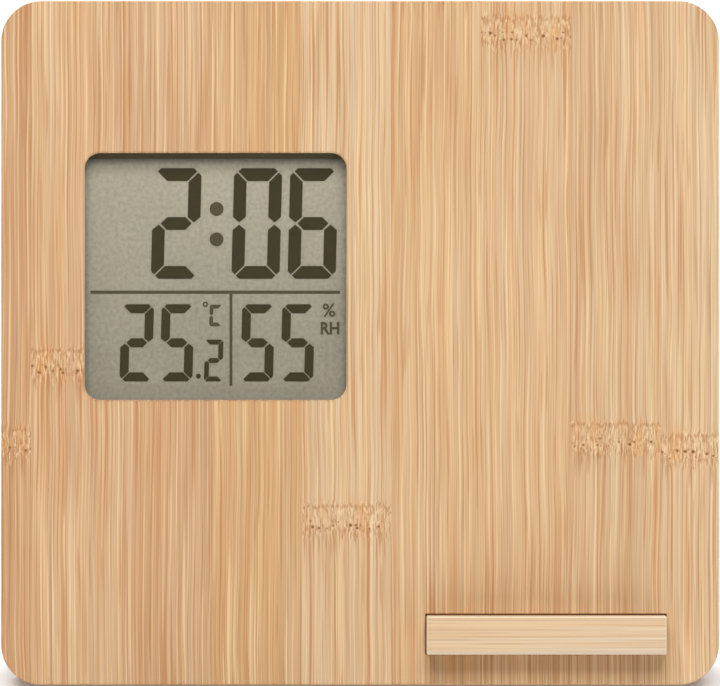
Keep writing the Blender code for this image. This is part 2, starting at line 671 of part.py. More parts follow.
def make_charger(cover):
    """The charging coil behind the bay, its ferrite, its carrier and the board that drives it."""
    x, z = COIL_CENTRE
    per_turn = 16
    points = []
    for i in range(COIL_TURNS * per_turn + 1):
        angle = 2 * pi * i / per_turn
        radius = COIL_INNER + COIL_WIRE / 2 + i / per_turn * (COIL_WIRE + 0.15)
        points.append((x + radius * cos(angle), COIL_Y, z + radius * sin(angle)))
    wire("charging_coil", points, COIL_WIRE, "copper")
    sheet, thick = FERRITE
    behind = COIL_Y + COIL_WIRE / 2 + GAP
    span_box("ferrite_sheet", (x - sheet / 2, x + sheet / 2), (behind, behind + thick),
             (z - sheet / 2, z + sheet / 2), part, "ferrite", corner=3, segments=3)
    carrier = span_box(
        "coil_carrier", CARRIER_X, CARRIER_Y, CARRIER_Z, part, "white_plastic", corner=3, segments=3
    )
    for number, (px, pz) in enumerate(POSTS, 1):
        length = CHARGER_Y - GAP - CARRIER_Y[1] + 1
        post = rod_mesh(f"post_{number}", 2.5, length, sides=12)
        join(carrier, tool(f"post_{number}", post, (px, CHARGER_Y - GAP - length / 2, pz)))
    back = CHARGER_Y + BOARD_THICK
    span_box("charger_pcb", CHARGER_X, (CHARGER_Y, back), CHARGER_Z, part, "board", corner=1.5, segments=2)
    seat = back + GAP
    span_box("power_inductor", (36, 43), (seat, seat + 3), (56, 63), part, "ferrite", corner=0.8, segments=2)
    span_box("charger_controller", (46, 51), (seat, seat + 0.9), (44, 49), part, "black_plastic")
    make_usb(cover, seat)


def stadium(name, across, high, length, x, y, z, make=tool, finish=None):
    """A bar along x with round ends, like a USB-C shell."""
    mesh = box_mesh(name, (length, high, across), corner=high / 2 - 0.01, axis="x", segments=5)
    if make is part:
        return part(name, mesh, finish, (x, y, z))
    return tool(name, mesh, (x, y, z))


def make_usb(cover, seat):
    across, high, deep = USB
    mouth = WIDTH / 2 - COVER_EDGE - 0.4
    y = seat + high / 2
    port = stadium("usb_c_port", across, high, deep, mouth - deep / 2, y, USB_Z, part, "steel")
    throat = stadium("usb_throat", across - 0.7, high - 0.7, 2 * (deep - 1), mouth, y, USB_Z)
    tongue_z = (USB_Z - 3.3, USB_Z + 3.3)
    tongue = span_box("usb_tongue", (mouth - deep, mouth - 1), (y - 0.35, y + 0.35), tongue_z)
    cut(throat, tongue)
    cut(port, throat)
    cut(cover, stadium("usb_hole", across + 2 * GAP, high + 2 * GAP, 8, mouth, y, USB_Z))


def make_leads():
    """Wires inside the case, each from just above one board's face to just above another's."""
    pad = PCB_BACK + 1.0
    leads = {
        "battery_lead_red": ("red_wire", (
            (-19.8, 11, 43), (-17.5, 12.5, 47), (-16, 13, 56), (-15.5, pad, 62),
        )),
        "battery_lead_black": ("rubber", (
            (-19.8, 11, 30.3), (-15.5, 12.5, 38), (-12.5, 13, 52), (-12, pad, 62),
        )),
        "link_cable": ("grey_wire", (
            (-2, pad, 74), (6, 12.6, 75), (15, 13.4, 73), (23, 14.4, 67), (24.8, 15.6, 60),
        )),
        "sensor_lead": ("grey_wire", (
            (-39, 16.9, 134), (-33, 16.5, 133), (-27, 15.5, 127), (-24, 13, 118), (-24, pad, 112),
        )),
        "coil_lead": ("copper", (
            (64.15, 4.0, 88.8), (64.6, 4.0, 91), (66.6, 4.1, 92.6), (69.2, 5, 92), (70.4, 8, 89), (70, 12, 84),
            (66, 14.8, 79.5), (62, 15.6, 77.2),
        )),
    }
    thickness = 1.2
    for name, (finish, route) in leads.items():
        wire(name, smooth_route(route, 2.5 * thickness), thickness, finish)


# --- the model -----------------------------------------------------------------------------------

LIFT = PAD_PROUD + FACET_START * sin(LEAN)
HINGE_HEIGHT = LIFT - HINGE_Y * sin(LEAN) + HINGE_Z * cos(LEAN)
LEG_REACH = HINGE_HEIGHT / cos(STAND_OPEN - LEAN)


def middle_depth():
    """World y halfway between the ledge's front and the stand foot's back, with the panel's foot at 0."""
    front = -LEDGE_OUT * cos(LEAN) + (LEDGE_CENTRE[1] - LEDGE[1] / 2) * sin(LEAN)
    hinge = HINGE_Y * cos(LEAN) + HINGE_Z * sin(LEAN)
    tilt = STAND_OPEN - LEAN
    foot_back = LEG_REACH + FOOT_PAD_BACK * tan(tilt)
    back = hinge + foot_back * sin(tilt) + FOOT_PAD_BACK * cos(tilt)
    return (front + back) / 2


clear_scene()
PARTS = collection("home_weather_station")
TOOLS = collection("cutters")
FLOOR = empty("floor_frame")
FLOOR.location = (0, -middle_depth() * MM, 0)
STATION = empty("panel_frame", FLOOR)
STATION.location = (0, 0, LIFT * MM)
STATION.rotation_euler = (-LEAN, 0, 0)
STAND_AXIS = empty("stand_axis", STATION)
STAND_AXIS.location = (0, HINGE_Y * MM, HINGE_Z * MM)
STAND_AXIS.rotation_euler = (STAND_OPEN, 0, 0)

bamboo = make_panel()
make_base_pads(bamboo)
make_display()
make_main_board_parts()
make_ledge()
back_cover = make_cover()
make_buttons(back_cover)
make_sensor()
make_stand()
make_batteries(back_cover)
make_charger(back_cover)
make_leads()
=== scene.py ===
"""The look of a home weather station: finer shapes, materials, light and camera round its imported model.

Shapes are made in millimetres in the panel's own frame (x right, y back from the front face, z up the
panel) or in the stand leg's, and settle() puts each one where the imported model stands.
"""

import json
from math import asin, cos, pi, radians, sin, sqrt

import bmesh
import bpy
from mathutils import Matrix, Vector


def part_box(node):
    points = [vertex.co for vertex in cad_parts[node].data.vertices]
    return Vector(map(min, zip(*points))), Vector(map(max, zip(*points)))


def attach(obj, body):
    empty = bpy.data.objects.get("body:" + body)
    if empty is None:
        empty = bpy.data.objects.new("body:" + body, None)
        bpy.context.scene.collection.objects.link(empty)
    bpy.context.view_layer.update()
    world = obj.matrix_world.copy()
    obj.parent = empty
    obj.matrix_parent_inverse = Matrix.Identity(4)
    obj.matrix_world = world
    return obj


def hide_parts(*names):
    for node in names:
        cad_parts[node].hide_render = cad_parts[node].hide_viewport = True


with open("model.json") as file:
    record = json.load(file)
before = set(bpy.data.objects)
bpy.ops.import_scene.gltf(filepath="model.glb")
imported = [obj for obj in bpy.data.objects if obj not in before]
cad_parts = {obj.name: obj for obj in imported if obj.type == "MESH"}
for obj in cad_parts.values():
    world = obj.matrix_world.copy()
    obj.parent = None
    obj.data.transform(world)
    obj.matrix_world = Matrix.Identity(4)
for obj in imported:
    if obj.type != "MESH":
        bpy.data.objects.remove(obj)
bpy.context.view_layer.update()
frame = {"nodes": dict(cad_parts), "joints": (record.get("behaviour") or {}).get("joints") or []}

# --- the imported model's own frames ---

MM = 0.001
JOINTS = {joint["name"]: joint for joint in frame["joints"]}
LEAN = asin(JOINTS["ledge_slide"]["axis"][2])
STAND_OPEN = radians(-JOINTS["stand_hinge"]["range_deg"][0])
HINGE = Vector((0, 20.8, 104.0))
TILT = Matrix.Rotation(-LEAN, 4, "X")
ORIGIN = Vector(JOINTS["stand_hinge"]["pos_m"]) - TILT @ (HINGE * MM)
PANEL = Matrix.Translation(ORIGIN) @ TILT @ Matrix.Scale(MM, 4)
LEG = PANEL @ Matrix.Translation(HINGE) @ Matrix.Rotation(STAND_OPEN, 4, "X")


def limits(node, space=PANEL):
    """A node's lowest and highest corners, in a space's own millimetres."""
    inverse = space.inverted()
    points = [inverse @ v.co for v in frame["nodes"][node].data.vertices]
    return [Vector([pick(p[i] for p in points) for i in range(3)]) for pick in (min, max)]


def span(node, axis):
    low, high = limits(node)
    return low[axis], high[axis]


def middle(node):
    low, high = limits(node)
    return (low + high) / 2


# --- sizes, in millimetres ---

GAP = 0.3
SHARP_ANGLE = radians(32)
WIDE = span("bamboo_panel", 0)
HIGH = span("bamboo_panel", 2)
THICK = span("bamboo_panel", 1)[1]
PANEL_CORNER = 9.0
PANEL_EASE = 0.5
SKIN = span("display_lens", 1)[0] - GAP
RIM = 4.5
REBATE = 2.0
WINDOW = (58.4, 55.1)
WINDOW_CORNER = 3.5
WINDOW_CHAMFER = 0.35
RIM_SHADOW_REACH = 1.3  # how far the dark strip of painted shadow reaches below the window's rim
SLOT_CHAMFER = 0.2
LEDGE_SLOT_GAP = 0.22
STOP_ROOM = 0.4
POCKET_SIDE = 72.5
POCKET_LOW, POCKET_HIGH = 20.0, 136.0
LAND_X, LAND_Z = 60.0, 30.0
SCREW_R = 1.0

BACK = span("battery_door", 1)[1]
COVER_FRONT = span("rear_cover", 1)[0]
COVER_X = span("rear_cover", 0)
COVER_Z = span("rear_cover", 2)
COVER_CORNER = 4.5
COVER_EASE = 1.6
WALL = 1.8
INNER = BACK - WALL
INTO_WALL = INNER + 0.2
SCREWS = [f"cover_screw_{number}" for number in range(1, 5)]
SCREW_SEAT = 15.0
BUTTONS = ("set", "up", "down", "unit")
CHANNEL_FRONT, CHANNEL_FLOOR = 18.0, 19.3
HINGE_FRONT = 15.5
DOOR_FRAME = (-20.2, 18.8, 21, 52.4)  # its right side, front, foot and top

LEAF_THICK = 2.4
BARREL_R = 2.5
PIN_R = 1.0
HEEL = 4.0
NO_TURN = Matrix.Identity(4)
ALONG_X = Matrix.Rotation(-pi / 2, 4, "Z")
SIDEWAYS = Matrix(((0, 1, 0, 0), (1, 0, 0, 0), (0, 0, 1, 0), (0, 0, 0, 1)))  # swaps x and y

STRIP = 20.06  # width of one bamboo strip
FIRST_SEAM = -73.3
LAYER = 4.7  # depth of one layer of strips
# Each front strip's colour, and the height of its node where it has one on this board.
STRIPS = (
    ((206, 160, 117), 53.0),
    ((218, 177, 133), 70.5),
    ((213, 171, 128), None),
    ((214, 171, 123), None),
    ((223, 188, 146), 35.8),
    ((220, 180, 134), 156.0),
    ((221, 182, 138), 144.6),
    ((219, 182, 139), 54.0),
    ((224, 190, 148), 51.5),
)
NO_NODE = 190.0
LOOKUP_RANGE = 200.0


# --- shapes ---


def shown(name, data):
    ob = bpy.data.objects.new(name, data)
    bpy.context.scene.collection.objects.link(ob)
    return ob


def linked(name, bm):
    bmesh.ops.recalc_face_normals(bm, faces=bm.faces)
    mesh = bpy.data.meshes.new(name)
    bm.to_mesh(mesh)
    bm.free()
    return shown(name, mesh)


def about(centre, half):
    return centre - half, centre + half


def grown(ends, room=GAP):
    return ends[0] - room, ends[1] + room


def outline(x, z, corner, inset=0.0, steps=10):
    """(x, z) points round a rectangle with round corners, drawn in by an inset."""
    radius = max(corner - inset, 0.02)
    left, right = x[0] + inset + radius, x[1] - inset - radius
    low, high = z[0] + inset + radius, z[1] - inset - radius
    points = []
    for quarter, (cx, cz) in enumerate(((right, high), (left, high), (left, low), (right, low))):
        for i in range(steps + 1):
            angle = pi / 2 * (quarter + i / steps)
            points.append((cx + radius * cos(angle), cz + radius * sin(angle)))
    return points


def join(bm, rings, sides):
    """Faces between each ring of corners and the next. A ring may be a single point."""
    for near, far in zip(rings, rings[1:]):
        for i in range(sides):
            j = (i + 1) % sides
            corners = near[i % len(near)], near[j % len(near)], far[j % len(far)], far[i % len(far)]
            bm.faces.new(list(dict.fromkeys(corners)))


def slab(name, x, z, corner, sections, steps=10):
    """A solid with a round-cornered outline, made of (depth, inset) sections from front to back."""
    bm = bmesh.new()
    rings = []
    for y, inset in sections:
        rings.append([bm.verts.new((px, y, pz)) for px, pz in outline(x, z, corner, inset, steps)])
    join(bm, rings, len(rings[0]))
    bm.faces.new(rings[0])
    bm.faces.new(rings[-1])
    return linked(name, bm)


def eased(front, back, front_r=0.0, back_r=0.0, steps=4):
    """Sections for a slab whose front and back edges are rounded."""
    return rounded(front, front_r, 1, steps) + rounded(back, back_r, -1, steps)[::-1]


def rounded(face, radius, inwards, steps):
    """Sections of one rounded edge, from its face inwards."""
    turns = [pi / 2 * i / steps for i in range(steps + 1)] if radius else [pi / 2]
    return [(face + inwards * radius * (1 - cos(a)), radius * (1 - sin(a))) for a in turns]


def flared(depth, chamfer):
    """Sections for a cutter whose opening at the panel's front face is chamfered."""
    return [(-1, -chamfer - 1), (chamfer, 0), (depth, 0)]


def turned(name, profile, at, turn=NO_TURN, sides=48):
    """A solid turned round y from (radius, depth) points, which start and end on its axis."""
    bm = bmesh.new()
    rings = []
    for radius, depth in profile:
        count = sides if radius > 1e-6 else 1
        angles = [2 * pi * i / sides for i in range(count)]
        rings.append([bm.verts.new((radius * cos(a), depth, radius * sin(a))) for a in angles])
    join(bm, rings, sides)
    ob = linked(name, bm)
    ob.data.transform(Matrix.Translation(Vector(at)) @ turn)
    return ob


def rod(name, radius, front, back, at, sides=32):
    """A rod along y, at a point's x and z."""
    profile = [(0, front), (radius, front), (radius, back), (0, back)]
    return turned(name, profile, (at.x, 0, at.z), sides=sides)


def cross_rod(name, radius, half, at=HINGE, sides=40):
    """A rod along x."""
    return turned(name, [(0, -half), (radius, -half), (radius, half), (0, half)], at, ALONG_X, sides)


def barrel(name, half, ease, at=HINGE):
    """The barrel round the hinge's pin, with eased ends."""
    ends = [(0, -half), (BARREL_R - ease, -half), (BARREL_R, -half + ease)]
    return turned(name, ends + [(r, -y) for r, y in reversed(ends)], at, ALONG_X)


def block(name, x, y, z, corner=0.02):
    return slab(name, x, z, corner, [(y[0], 0), (y[1], 0)], steps=6 if corner > 0.02 else 1)


def carve(ob, others, operation="DIFFERENCE"):
    for other in others:
        mod = ob.modifiers.new(other.name, "BOOLEAN")
        mod.operation = operation
        mod.solver = "EXACT"
        mod.object = other


def build_on(ob, others):
    carve(ob, others, "UNION")


def baked(ob):
    """A mesh of an object as its modifiers leave it."""
    return bpy.data.meshes.new_from_object(ob.evaluated_get(bpy.context.evaluated_depsgraph_get()))


def settle(ob, finish, body="station", nodes=(), space=PANEL):
    """Puts a shape made in a space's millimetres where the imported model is, as a finished piece."""
    tools = [mod.object for mod in ob.modifiers if mod.type == "BOOLEAN"]
    inner = [mod.object for tool in tools for mod in tool.modifiers if mod.type == "BOOLEAN"]
    mesh = baked(ob)
    ob.modifiers.clear()
    ob.data = mesh
    for tool in dict.fromkeys(tools + inner):
        bpy.data.objects.remove(tool)
    ob.data.transform(space)
    ob.data.materials.clear()
    ob.data.materials.append(finish)
    ob.data.shade_smooth()
    ob.data.set_sharp_from_angle(angle=SHARP_ANGLE)
    normals = ob.modifiers.new("normals", "WEIGHTED_NORMAL")
    normals.keep_sharp = True
    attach(ob, body)
    if nodes:
        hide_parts(*nodes)


# --- material nodes ---


def rgb(red, green, blue):
    """A colour given as 0 to 255 on screen, as a shader wants it."""
    shares = [c / 255 for c in (red, green, blue)]
    return (*[s / 12.92 if s <= 0.04045 else ((s + 0.055) / 1.055) ** 2.4 for s in shares], 1)


class Graph:
    """A material's nodes, joined by short calls that take numbers or sockets."""

    def __init__(self, name):
        self.material = bpy.data.materials.new(name)
        self.material.use_nodes = True
        self.tree = self.material.node_tree
        self.tree.nodes.clear()

    def add(self, kind, inputs, **settings):
        node = self.tree.nodes.new("ShaderNode" + kind)
        for key, value in settings.items():
            setattr(node, key, value)
        for key, value in inputs.items():
            if isinstance(value, bpy.types.NodeSocket):
                self.tree.links.new(value, node.inputs[key])
            else:
                node.inputs[key].default_value = value
        return node

    def math(self, operation, *values):
        return self.add("Math", dict(enumerate(values)), operation=operation).outputs[0]

    def plus(self, a, b):
        return self.math("ADD", a, b)

    def minus(self, a, b):
        return self.math("SUBTRACT", a, b)

    def times(self, a, *others):
        for other in others:
            a = self.math("MULTIPLY", a, other)
        return a

    def over(self, a, b):
        return self.math("DIVIDE", a, b)

    def most(self, a, b):
        return self.math("MAXIMUM", a, b)

    def scaled(self, value, low, high, to_low, to_high, way="LINEAR"):
        inputs = {"Value": value, "From Min": low, "From Max": high, "To Min": to_low, "To Max": to_high}
        return self.add("MapRange", inputs, interpolation_type=way).outputs[0]

    def step(self, value, low, high, to_low=0.0, to_high=1.0):
        """A smooth step: to_low where the value is low, to_high where it is high."""
        return self.scaled(value, low, high, to_low, to_high, "SMOOTHSTEP")

    def spread(self, noise, to_low, to_high):
        """The usual reach of a noise, turned into another reach."""
        return self.scaled(noise, 0.3, 0.7, to_low, to_high)

    def bump_at(self, value, centre, half, soft):
        """One within half of a centre, falling to nothing over soft."""
        away = self.math("ABSOLUTE", self.minus(value, centre))
        return self.step(away, half + soft, half)

    def mix(self, factor, a, b, blend="MIX"):
        node = self.add("Mix", {0: factor, 6: a, 7: b}, data_type="RGBA", blend_type=blend)
        return node.outputs[2]

    def tinted(self, colour, tint):
        return self.mix(1.0, colour, tint, "MULTIPLY")

    def vector(self, x, y, z):
        return self.add("CombineXYZ", {0: x, 1: y, 2: z}).outputs[0]

    def noise(self, vector, scale=1.0, detail=2.0, roughness=0.5, distortion=0.0):
        inputs = {"Vector": vector, "Scale": scale, "Detail": detail, "Roughness": roughness,
                  "Distortion": distortion}
        return self.add("TexNoise", inputs).outputs[0]

    def cells(self, vector, scale=1.0, dimensions="3D"):
        """Distance to the nearest of the scattered points, and that point's own colour."""
        inputs = {"Vector": vector, "Scale": scale}
        node = self.add("TexVoronoi", inputs, voronoi_dimensions=dimensions)
        return node.outputs["Distance"], node.outputs["Color"]

    def random(self, vector):
        return self.add("TexWhiteNoise", {"Vector": vector}, noise_dimensions="3D").outputs["Value"]

    def lookup(self, index, values):
        """The value that belongs to a whole number, out of a short tuple of colours."""
        ramp = self.add("ValToRGB", {0: self.over(self.plus(index, 0.5), len(values))})
        ramp.color_ramp.interpolation = "CONSTANT"
        stops = ramp.color_ramp.elements
        stops[0].position, stops[0].color = 0.0, values[0]
        stops[1].position, stops[1].color = 1 / len(values), values[1]
        for i, value in list(enumerate(values))[2:]:
            stops.new(i / len(values)).color = value
        return ramp.outputs[0]

    def space(self):
        """The point being shaded, in the panel's millimetres."""
        place, turn, size = PANEL.decompose()
        here = self.add("TexCoord", {}).outputs["Object"]
        inputs = {"Vector": here, "Location": place, "Rotation": turn.to_euler(), "Scale": size}
        return self.add("Mapping", inputs, vector_type="TEXTURE").outputs[0]

    def axes(self, vector):
        return self.add("SeparateXYZ", {0: vector}).outputs

    def facing(self, axis):
        """How squarely the surface faces an axis of the model, from 0 to 1."""
        normal = self.add("TexCoord", {}).outputs["Normal"]
        along = self.add("VectorMath", {0: normal, 1: axis}, operation="DOT_PRODUCT").outputs["Value"]
        return self.math("ABSOLUTE", along)

    def bump(self, height, distance):
        inputs = {"Height": height, "Distance": distance * MM, "Strength": 1.0}
        return self.add("Bump", inputs).outputs[0]

    def surface(self, **inputs):
        """Ends the material in one Principled shader, whose inputs are named with underscores."""
        named = {key.replace("_", " "): value for key, value in inputs.items()}
        shader = self.add("BsdfPrincipled", named)
        return self.end(shader.outputs[0])

    def end(self, shader):
        self.add("OutputMaterial", {"Surface": shader})
        return self.material


# --- materials ---

DARK_FIBRE = rgb(192, 132, 80)
PALE_FIBRE = rgb(248, 216, 168)
NODE_BROWN = rgb(181, 120, 70)
NODE_ORANGE = rgb(224, 158, 92)
PORE = rgb(118, 66, 24)
# Pale edge colour: partly wear, partly painted highlight.
WORN_EDGE_AND_HIGHLIGHT = rgb(255, 241, 214)
# Display face colours: the darker foot colour is painted shade and the lighter top colour is painted light
# from above.
LCD_SHADED_FOOT = rgb(170, 163, 145)
LCD_LIT_TOP = rgb(194, 187, 166)


def fibres(g, colour, across, depth, along, seed, calm=1.0):
    """Bamboo fibres on a base colour: (colour, height), both in place of flat ones."""
    far = g.times(seed, 517.0)

    def streak(wide, long, offset, detail=2.0, roughness=0.55):
        spot = g.vector(
            g.plus(g.times(across, wide), far), g.times(depth, wide * 0.6),
            g.plus(g.times(along, long), g.plus(far, offset)),
        )
        return g.noise(spot, detail=detail, roughness=roughness)

    fine = streak(2.6, 0.014, 3.1, 3.0, 0.6)
    soft = streak(0.8, 0.008, 17.7)
    broad = streak(0.2, 0.005, 41.3)
    yellow = streak(0.42, 0.007, 63.9)
    green = streak(1.1, 0.01, 233.3)
    dark = g.step(streak(2.2, 0.016, 91.2, 2.0, 0.4), 0.55, 0.66)
    darker = g.step(streak(1.5, 0.035, 143.5, 1.0), 0.6, 0.7)
    pale = g.step(streak(2.0, 0.016, 201.7, 2.0, 0.4), 0.55, 0.67)

    for tint, strength in ((yellow, 1.0), (green, 0.8)):
        side = g.times(g.scaled(tint, 0.34, 0.66, -1.0, 1.0), strength)
        shift = [g.scaled(side, -1, 1, 1 - reach, 1 + reach) for reach in (-0.025, 0.015, 0.07)]
        colour = g.tinted(colour, g.vector(*shift))
    light = g.plus(
        g.spread(fine, 1 - 0.2 * calm, 1 + 0.17 * calm),
        g.plus(g.spread(soft, -0.07 * calm, 0.07 * calm), g.spread(broad, -0.035, 0.035)),
    )
    warmth = g.vector(light, g.math("POWER", light, 1.6), g.math("POWER", light, 2.0))
    colour = g.tinted(colour, warmth)
    colour = g.mix(g.times(pale, 0.62 * calm), colour, PALE_FIBRE)
    colour = g.mix(g.times(dark, 0.7 * calm), colour, DARK_FIBRE)
    colour = g.mix(g.times(darker, 0.5 * calm), colour, DARK_FIBRE)
    height = g.minus(g.times(fine, 0.5), g.times(dark, 0.35))
    return colour, height


def bamboo():
    """Flat-laid bamboo strips in layers, each strip with its own tone, fibres and node."""
    g = Graph("bamboo")
    x, y, z = g.axes(g.space())
    layer = g.most(g.math("FLOOR", g.over(y, LAYER)), 0.0)
    front = g.math("LESS_THAN", layer, 0.5)
    place = g.plus(g.over(g.minus(x, FIRST_SEAM), STRIP), 1.0)
    place = g.plus(place, g.times(layer, 0.37))
    strip = g.math("FLOOR", place)
    seed = g.random(g.vector(strip, layer, 4.0))

    tone = g.lookup(strip, [rgb(*colour) for colour, node in STRIPS])
    other = g.mix(seed, rgb(208, 165, 120), rgb(224, 186, 142))
    tone = g.mix(front, other, tone)
    heights = [(node or NO_NODE) / LOOKUP_RANGE for colour, node in STRIPS]
    listed = g.times(g.lookup(strip, [(h, h, h, 1) for h in heights]), LOOKUP_RANGE)
    behind = g.times(g.minus(1.0, front), g.times(seed, LOOKUP_RANGE))
    node_at = g.plus(g.times(front, listed), behind)
    above = g.minus(z, node_at)

    sway = g.times(g.plus(g.noise(g.vector(seed, g.times(x, 0.02), g.times(z, 0.03)), detail=1.0), -0.5), 1.6)
    near = g.bump_at(above, 1.0, 2.0, 3.5)
    curl = g.noise(g.vector(g.times(x, 0.6), g.times(seed, 90.0), g.times(z, 0.4)), detail=2.0)
    bend = g.times(near, g.spread(curl, -0.55, 0.55))
    across = g.plus(x, g.plus(sway, bend))
    colour, height = fibres(g, tone, across, y, z, seed)

    colour, height, pores = node_marks(g, colour, height, x, y, above, seed)
    within = g.math("FRACT", place)
    to_seam = g.times(g.math("MINIMUM", within, g.minus(1.0, within)), STRIP)
    seam = g.step(to_seam, 0.16, 0.03)
    colour = g.mix(g.times(seam, 0.22), colour, DARK_FIBRE)
    height = g.minus(height, g.plus(g.times(pores, 0.4), g.times(seam, 0.6)))
    colour = end_grain(g, colour, tone, seam, x, y)
    rough = g.scaled(height, -1.0, 0.6, 0.62, 0.5)
    return g.surface(Base_Color=colour, Roughness=rough, Normal=g.bump(height, 0.035), Specular_IOR_Level=0.3)


def end_grain(g, colour, tone, seam, x, y):
    """Glue lines between the layers, and dots of cut fibre bundles where the strips end."""
    into = g.math("FRACT", g.over(y, LAYER))
    to_layer = g.times(g.math("MINIMUM", into, g.minus(1.0, into)), LAYER)
    glue = g.times(g.step(to_layer, 0.16, 0.05), g.step(y, 0.4, 0.8))
    colour = g.mix(g.times(glue, 0.35), colour, DARK_FIBRE)

    distance, own = g.cells(g.vector(g.times(x, 1.15), g.times(y, 1.15), 0.0), dimensions="2D")
    size = g.scaled(into, 0.0, 1.0, 0.3, 0.16)
    bundles = g.step(distance, g.plus(size, 0.12), g.plus(size, -0.08))
    cut_ends = g.tinted(tone, (0.95, 0.93, 0.9, 1))
    cut_ends = g.mix(g.times(bundles, 0.5), cut_ends, NODE_BROWN)
    cut_ends = g.mix(g.times(g.most(seam, glue), 0.45), cut_ends, NODE_BROWN)
    across = g.step(g.facing(PANEL.to_3x3().col[2].normalized()), 0.75, 0.92)
    return g.mix(across, colour, cut_ends)


def node_marks(g, colour, height, x, y, above, seed):
    """A knuckle: curled fibres over a row of pores, with tapering stains below."""
    far = g.times(seed, 311.0)

    def patch(wide, high, offset, detail=2.0, distortion=0.0):
        spot = g.vector(g.plus(g.times(x, wide), far), g.times(y, wide), g.plus(g.times(above, high), offset))
        return g.noise(spot, detail=detail, distortion=distortion)

    ragged = g.plus(above, g.plus(g.spread(patch(0.5, 0.0, 71.0), -1.5, 1.5),
                                  g.spread(patch(2.4, 0.0, 19.0), -1.3, 1.3)))
    curls = g.times(g.bump_at(ragged, 0.8, 2.9, 1.3), g.step(patch(0.45, 0.3, 11.0), 0.36, 0.56, 0.4, 1.0))
    warm = g.times(g.bump_at(above, 1.6, 2.0, 4.5), g.step(patch(0.3, 0.06, 5.0), 0.48, 0.66))
    colour = g.mix(g.times(warm, 0.5), colour, NODE_ORANGE)
    swirl = patch(2.6, 0.48, 29.0, 3.0, 0.4)
    colour = g.mix(g.times(curls, g.step(swirl, 0.53, 0.60, 0, 0.58)), colour, PALE_FIBRE)
    colour = g.mix(g.times(curls, g.step(swirl, 0.48, 0.40, 0, 0.6)), colour, NODE_BROWN)

    edge = g.spread(patch(0.7, 0.0, 57.0), 3.0, 5.0)
    scallop = g.bump_at(g.minus(above, edge), 0.0, 0.12, 0.5)
    broken = g.step(patch(1.9, 0.0, 83.0), 0.42, 0.56)
    colour = g.mix(g.times(scallop, broken, 0.6), colour, NODE_BROWN)

    fade = g.times(g.step(above, -11.0, -2.0), g.step(above, 1.0, -1.5))
    stain = g.step(g.plus(patch(1.9, 0.1, 117.0, 1.0), g.times(fade, 0.06)), 0.58, 0.68)
    colour = g.mix(g.times(stain, fade, 0.55), colour, NODE_BROWN)

    spread = g.vector(g.plus(g.times(x, 0.6), far), g.plus(g.times(above, 0.62), 0.5), 0.0)
    distance, own = g.cells(spread, dimensions="2D")
    size = g.scaled(g.axes(own)[0], 0.25, 1.0, 0.02, 0.2)
    pores = g.step(distance, g.plus(size, 0.07), g.plus(size, -0.05))
    ring = g.step(distance, g.plus(size, 0.2), size)
    band = g.bump_at(above, 0.0, 0.9, 0.3)
    colour = g.mix(g.times(ring, band, 0.5), colour, NODE_BROWN)
    pores = g.times(pores, band)
    colour = g.mix(g.times(pores, 0.8), colour, PORE)
    height = g.minus(height, g.times(curls, swirl, 0.5))
    return colour, height, pores


def ledge_bamboo():
    """Pale bamboo with its grain along the ledge."""
    g = Graph("ledge_bamboo")
    x, y, z = g.axes(g.space())
    colour, height = fibres(g, rgb(230, 198, 163), z, y, x, 0.31, calm=0.5)
    low, high = limits("phone_ledge")
    down = g.scaled(z, high[2], low[2], -1.0, 1.0)
    pinker = g.vector(0.985, g.plus(1.01, g.times(down, 0.05)), g.plus(1.01, g.times(down, 0.12)))
    colour = g.tinted(colour, pinker)
    at_front = g.step(y, low[1] + 0.9, low[1] + 0.4)
    at_top = g.step(z, high[2] - 0.5, high[2] - 0.2)
    at_foot = g.step(z, low[2] + 0.3, low[2] + 0.1)
    at_end = g.most(g.step(x, high[0] - 0.5, high[0] - 0.1), g.step(x, low[0] + 0.5, low[0] + 0.1))
    # Pale front edges, partly wear and partly painted highlight: full strength along the top edge, where
    # light from above catches it, and half along the foot and ends.
    at_edge = g.most(at_top, g.times(g.most(at_foot, at_end), 0.5))
    colour = g.mix(g.times(at_front, at_edge, 0.85), colour, WORN_EDGE_AND_HIGHLIGHT)
    rough = g.scaled(height, -0.4, 0.6, 0.56, 0.46)
    return g.surface(Base_Color=colour, Roughness=rough, Normal=g.bump(height, 0.02), Specular_IOR_Level=0.3)


def moulded(name, colour, grain=2.6, rough=0.5):
    """Moulded plastic with a fine spark-eroded grain and faint cloudiness."""
    g = Graph(name)
    here = g.space()
    pits = g.noise(here, scale=grain, detail=3.0, roughness=0.6)
    cloud = g.noise(here, scale=0.05, detail=2.0)
    light = g.plus(g.spread(cloud, 0.975, 1.02), g.spread(pits, -0.02, 0.02))
    shade = g.tinted(rgb(*colour), g.vector(light, light, light))
    roughness = g.spread(pits, rough - 0.06, rough + 0.08)
    return g.surface(Base_Color=shade, Roughness=roughness, Normal=g.bump(pits, 0.02))


def rubber(name, colour=(44, 44, 45)):
    g = Graph(name)
    here = g.space()
    grain = g.noise(here, scale=4.5, detail=4.0, roughness=0.65)
    dust = g.noise(here, scale=0.3, detail=3.0)
    shade = g.mix(g.scaled(dust, 0.35, 0.75, 0.0, 0.3), rgb(*colour), rgb(74, 73, 71))
    rough = g.spread(grain, 0.75, 0.9)
    return g.surface(Base_Color=shade, Roughness=rough, Normal=g.bump(grain, 0.03), Specular_IOR_Level=0.35)


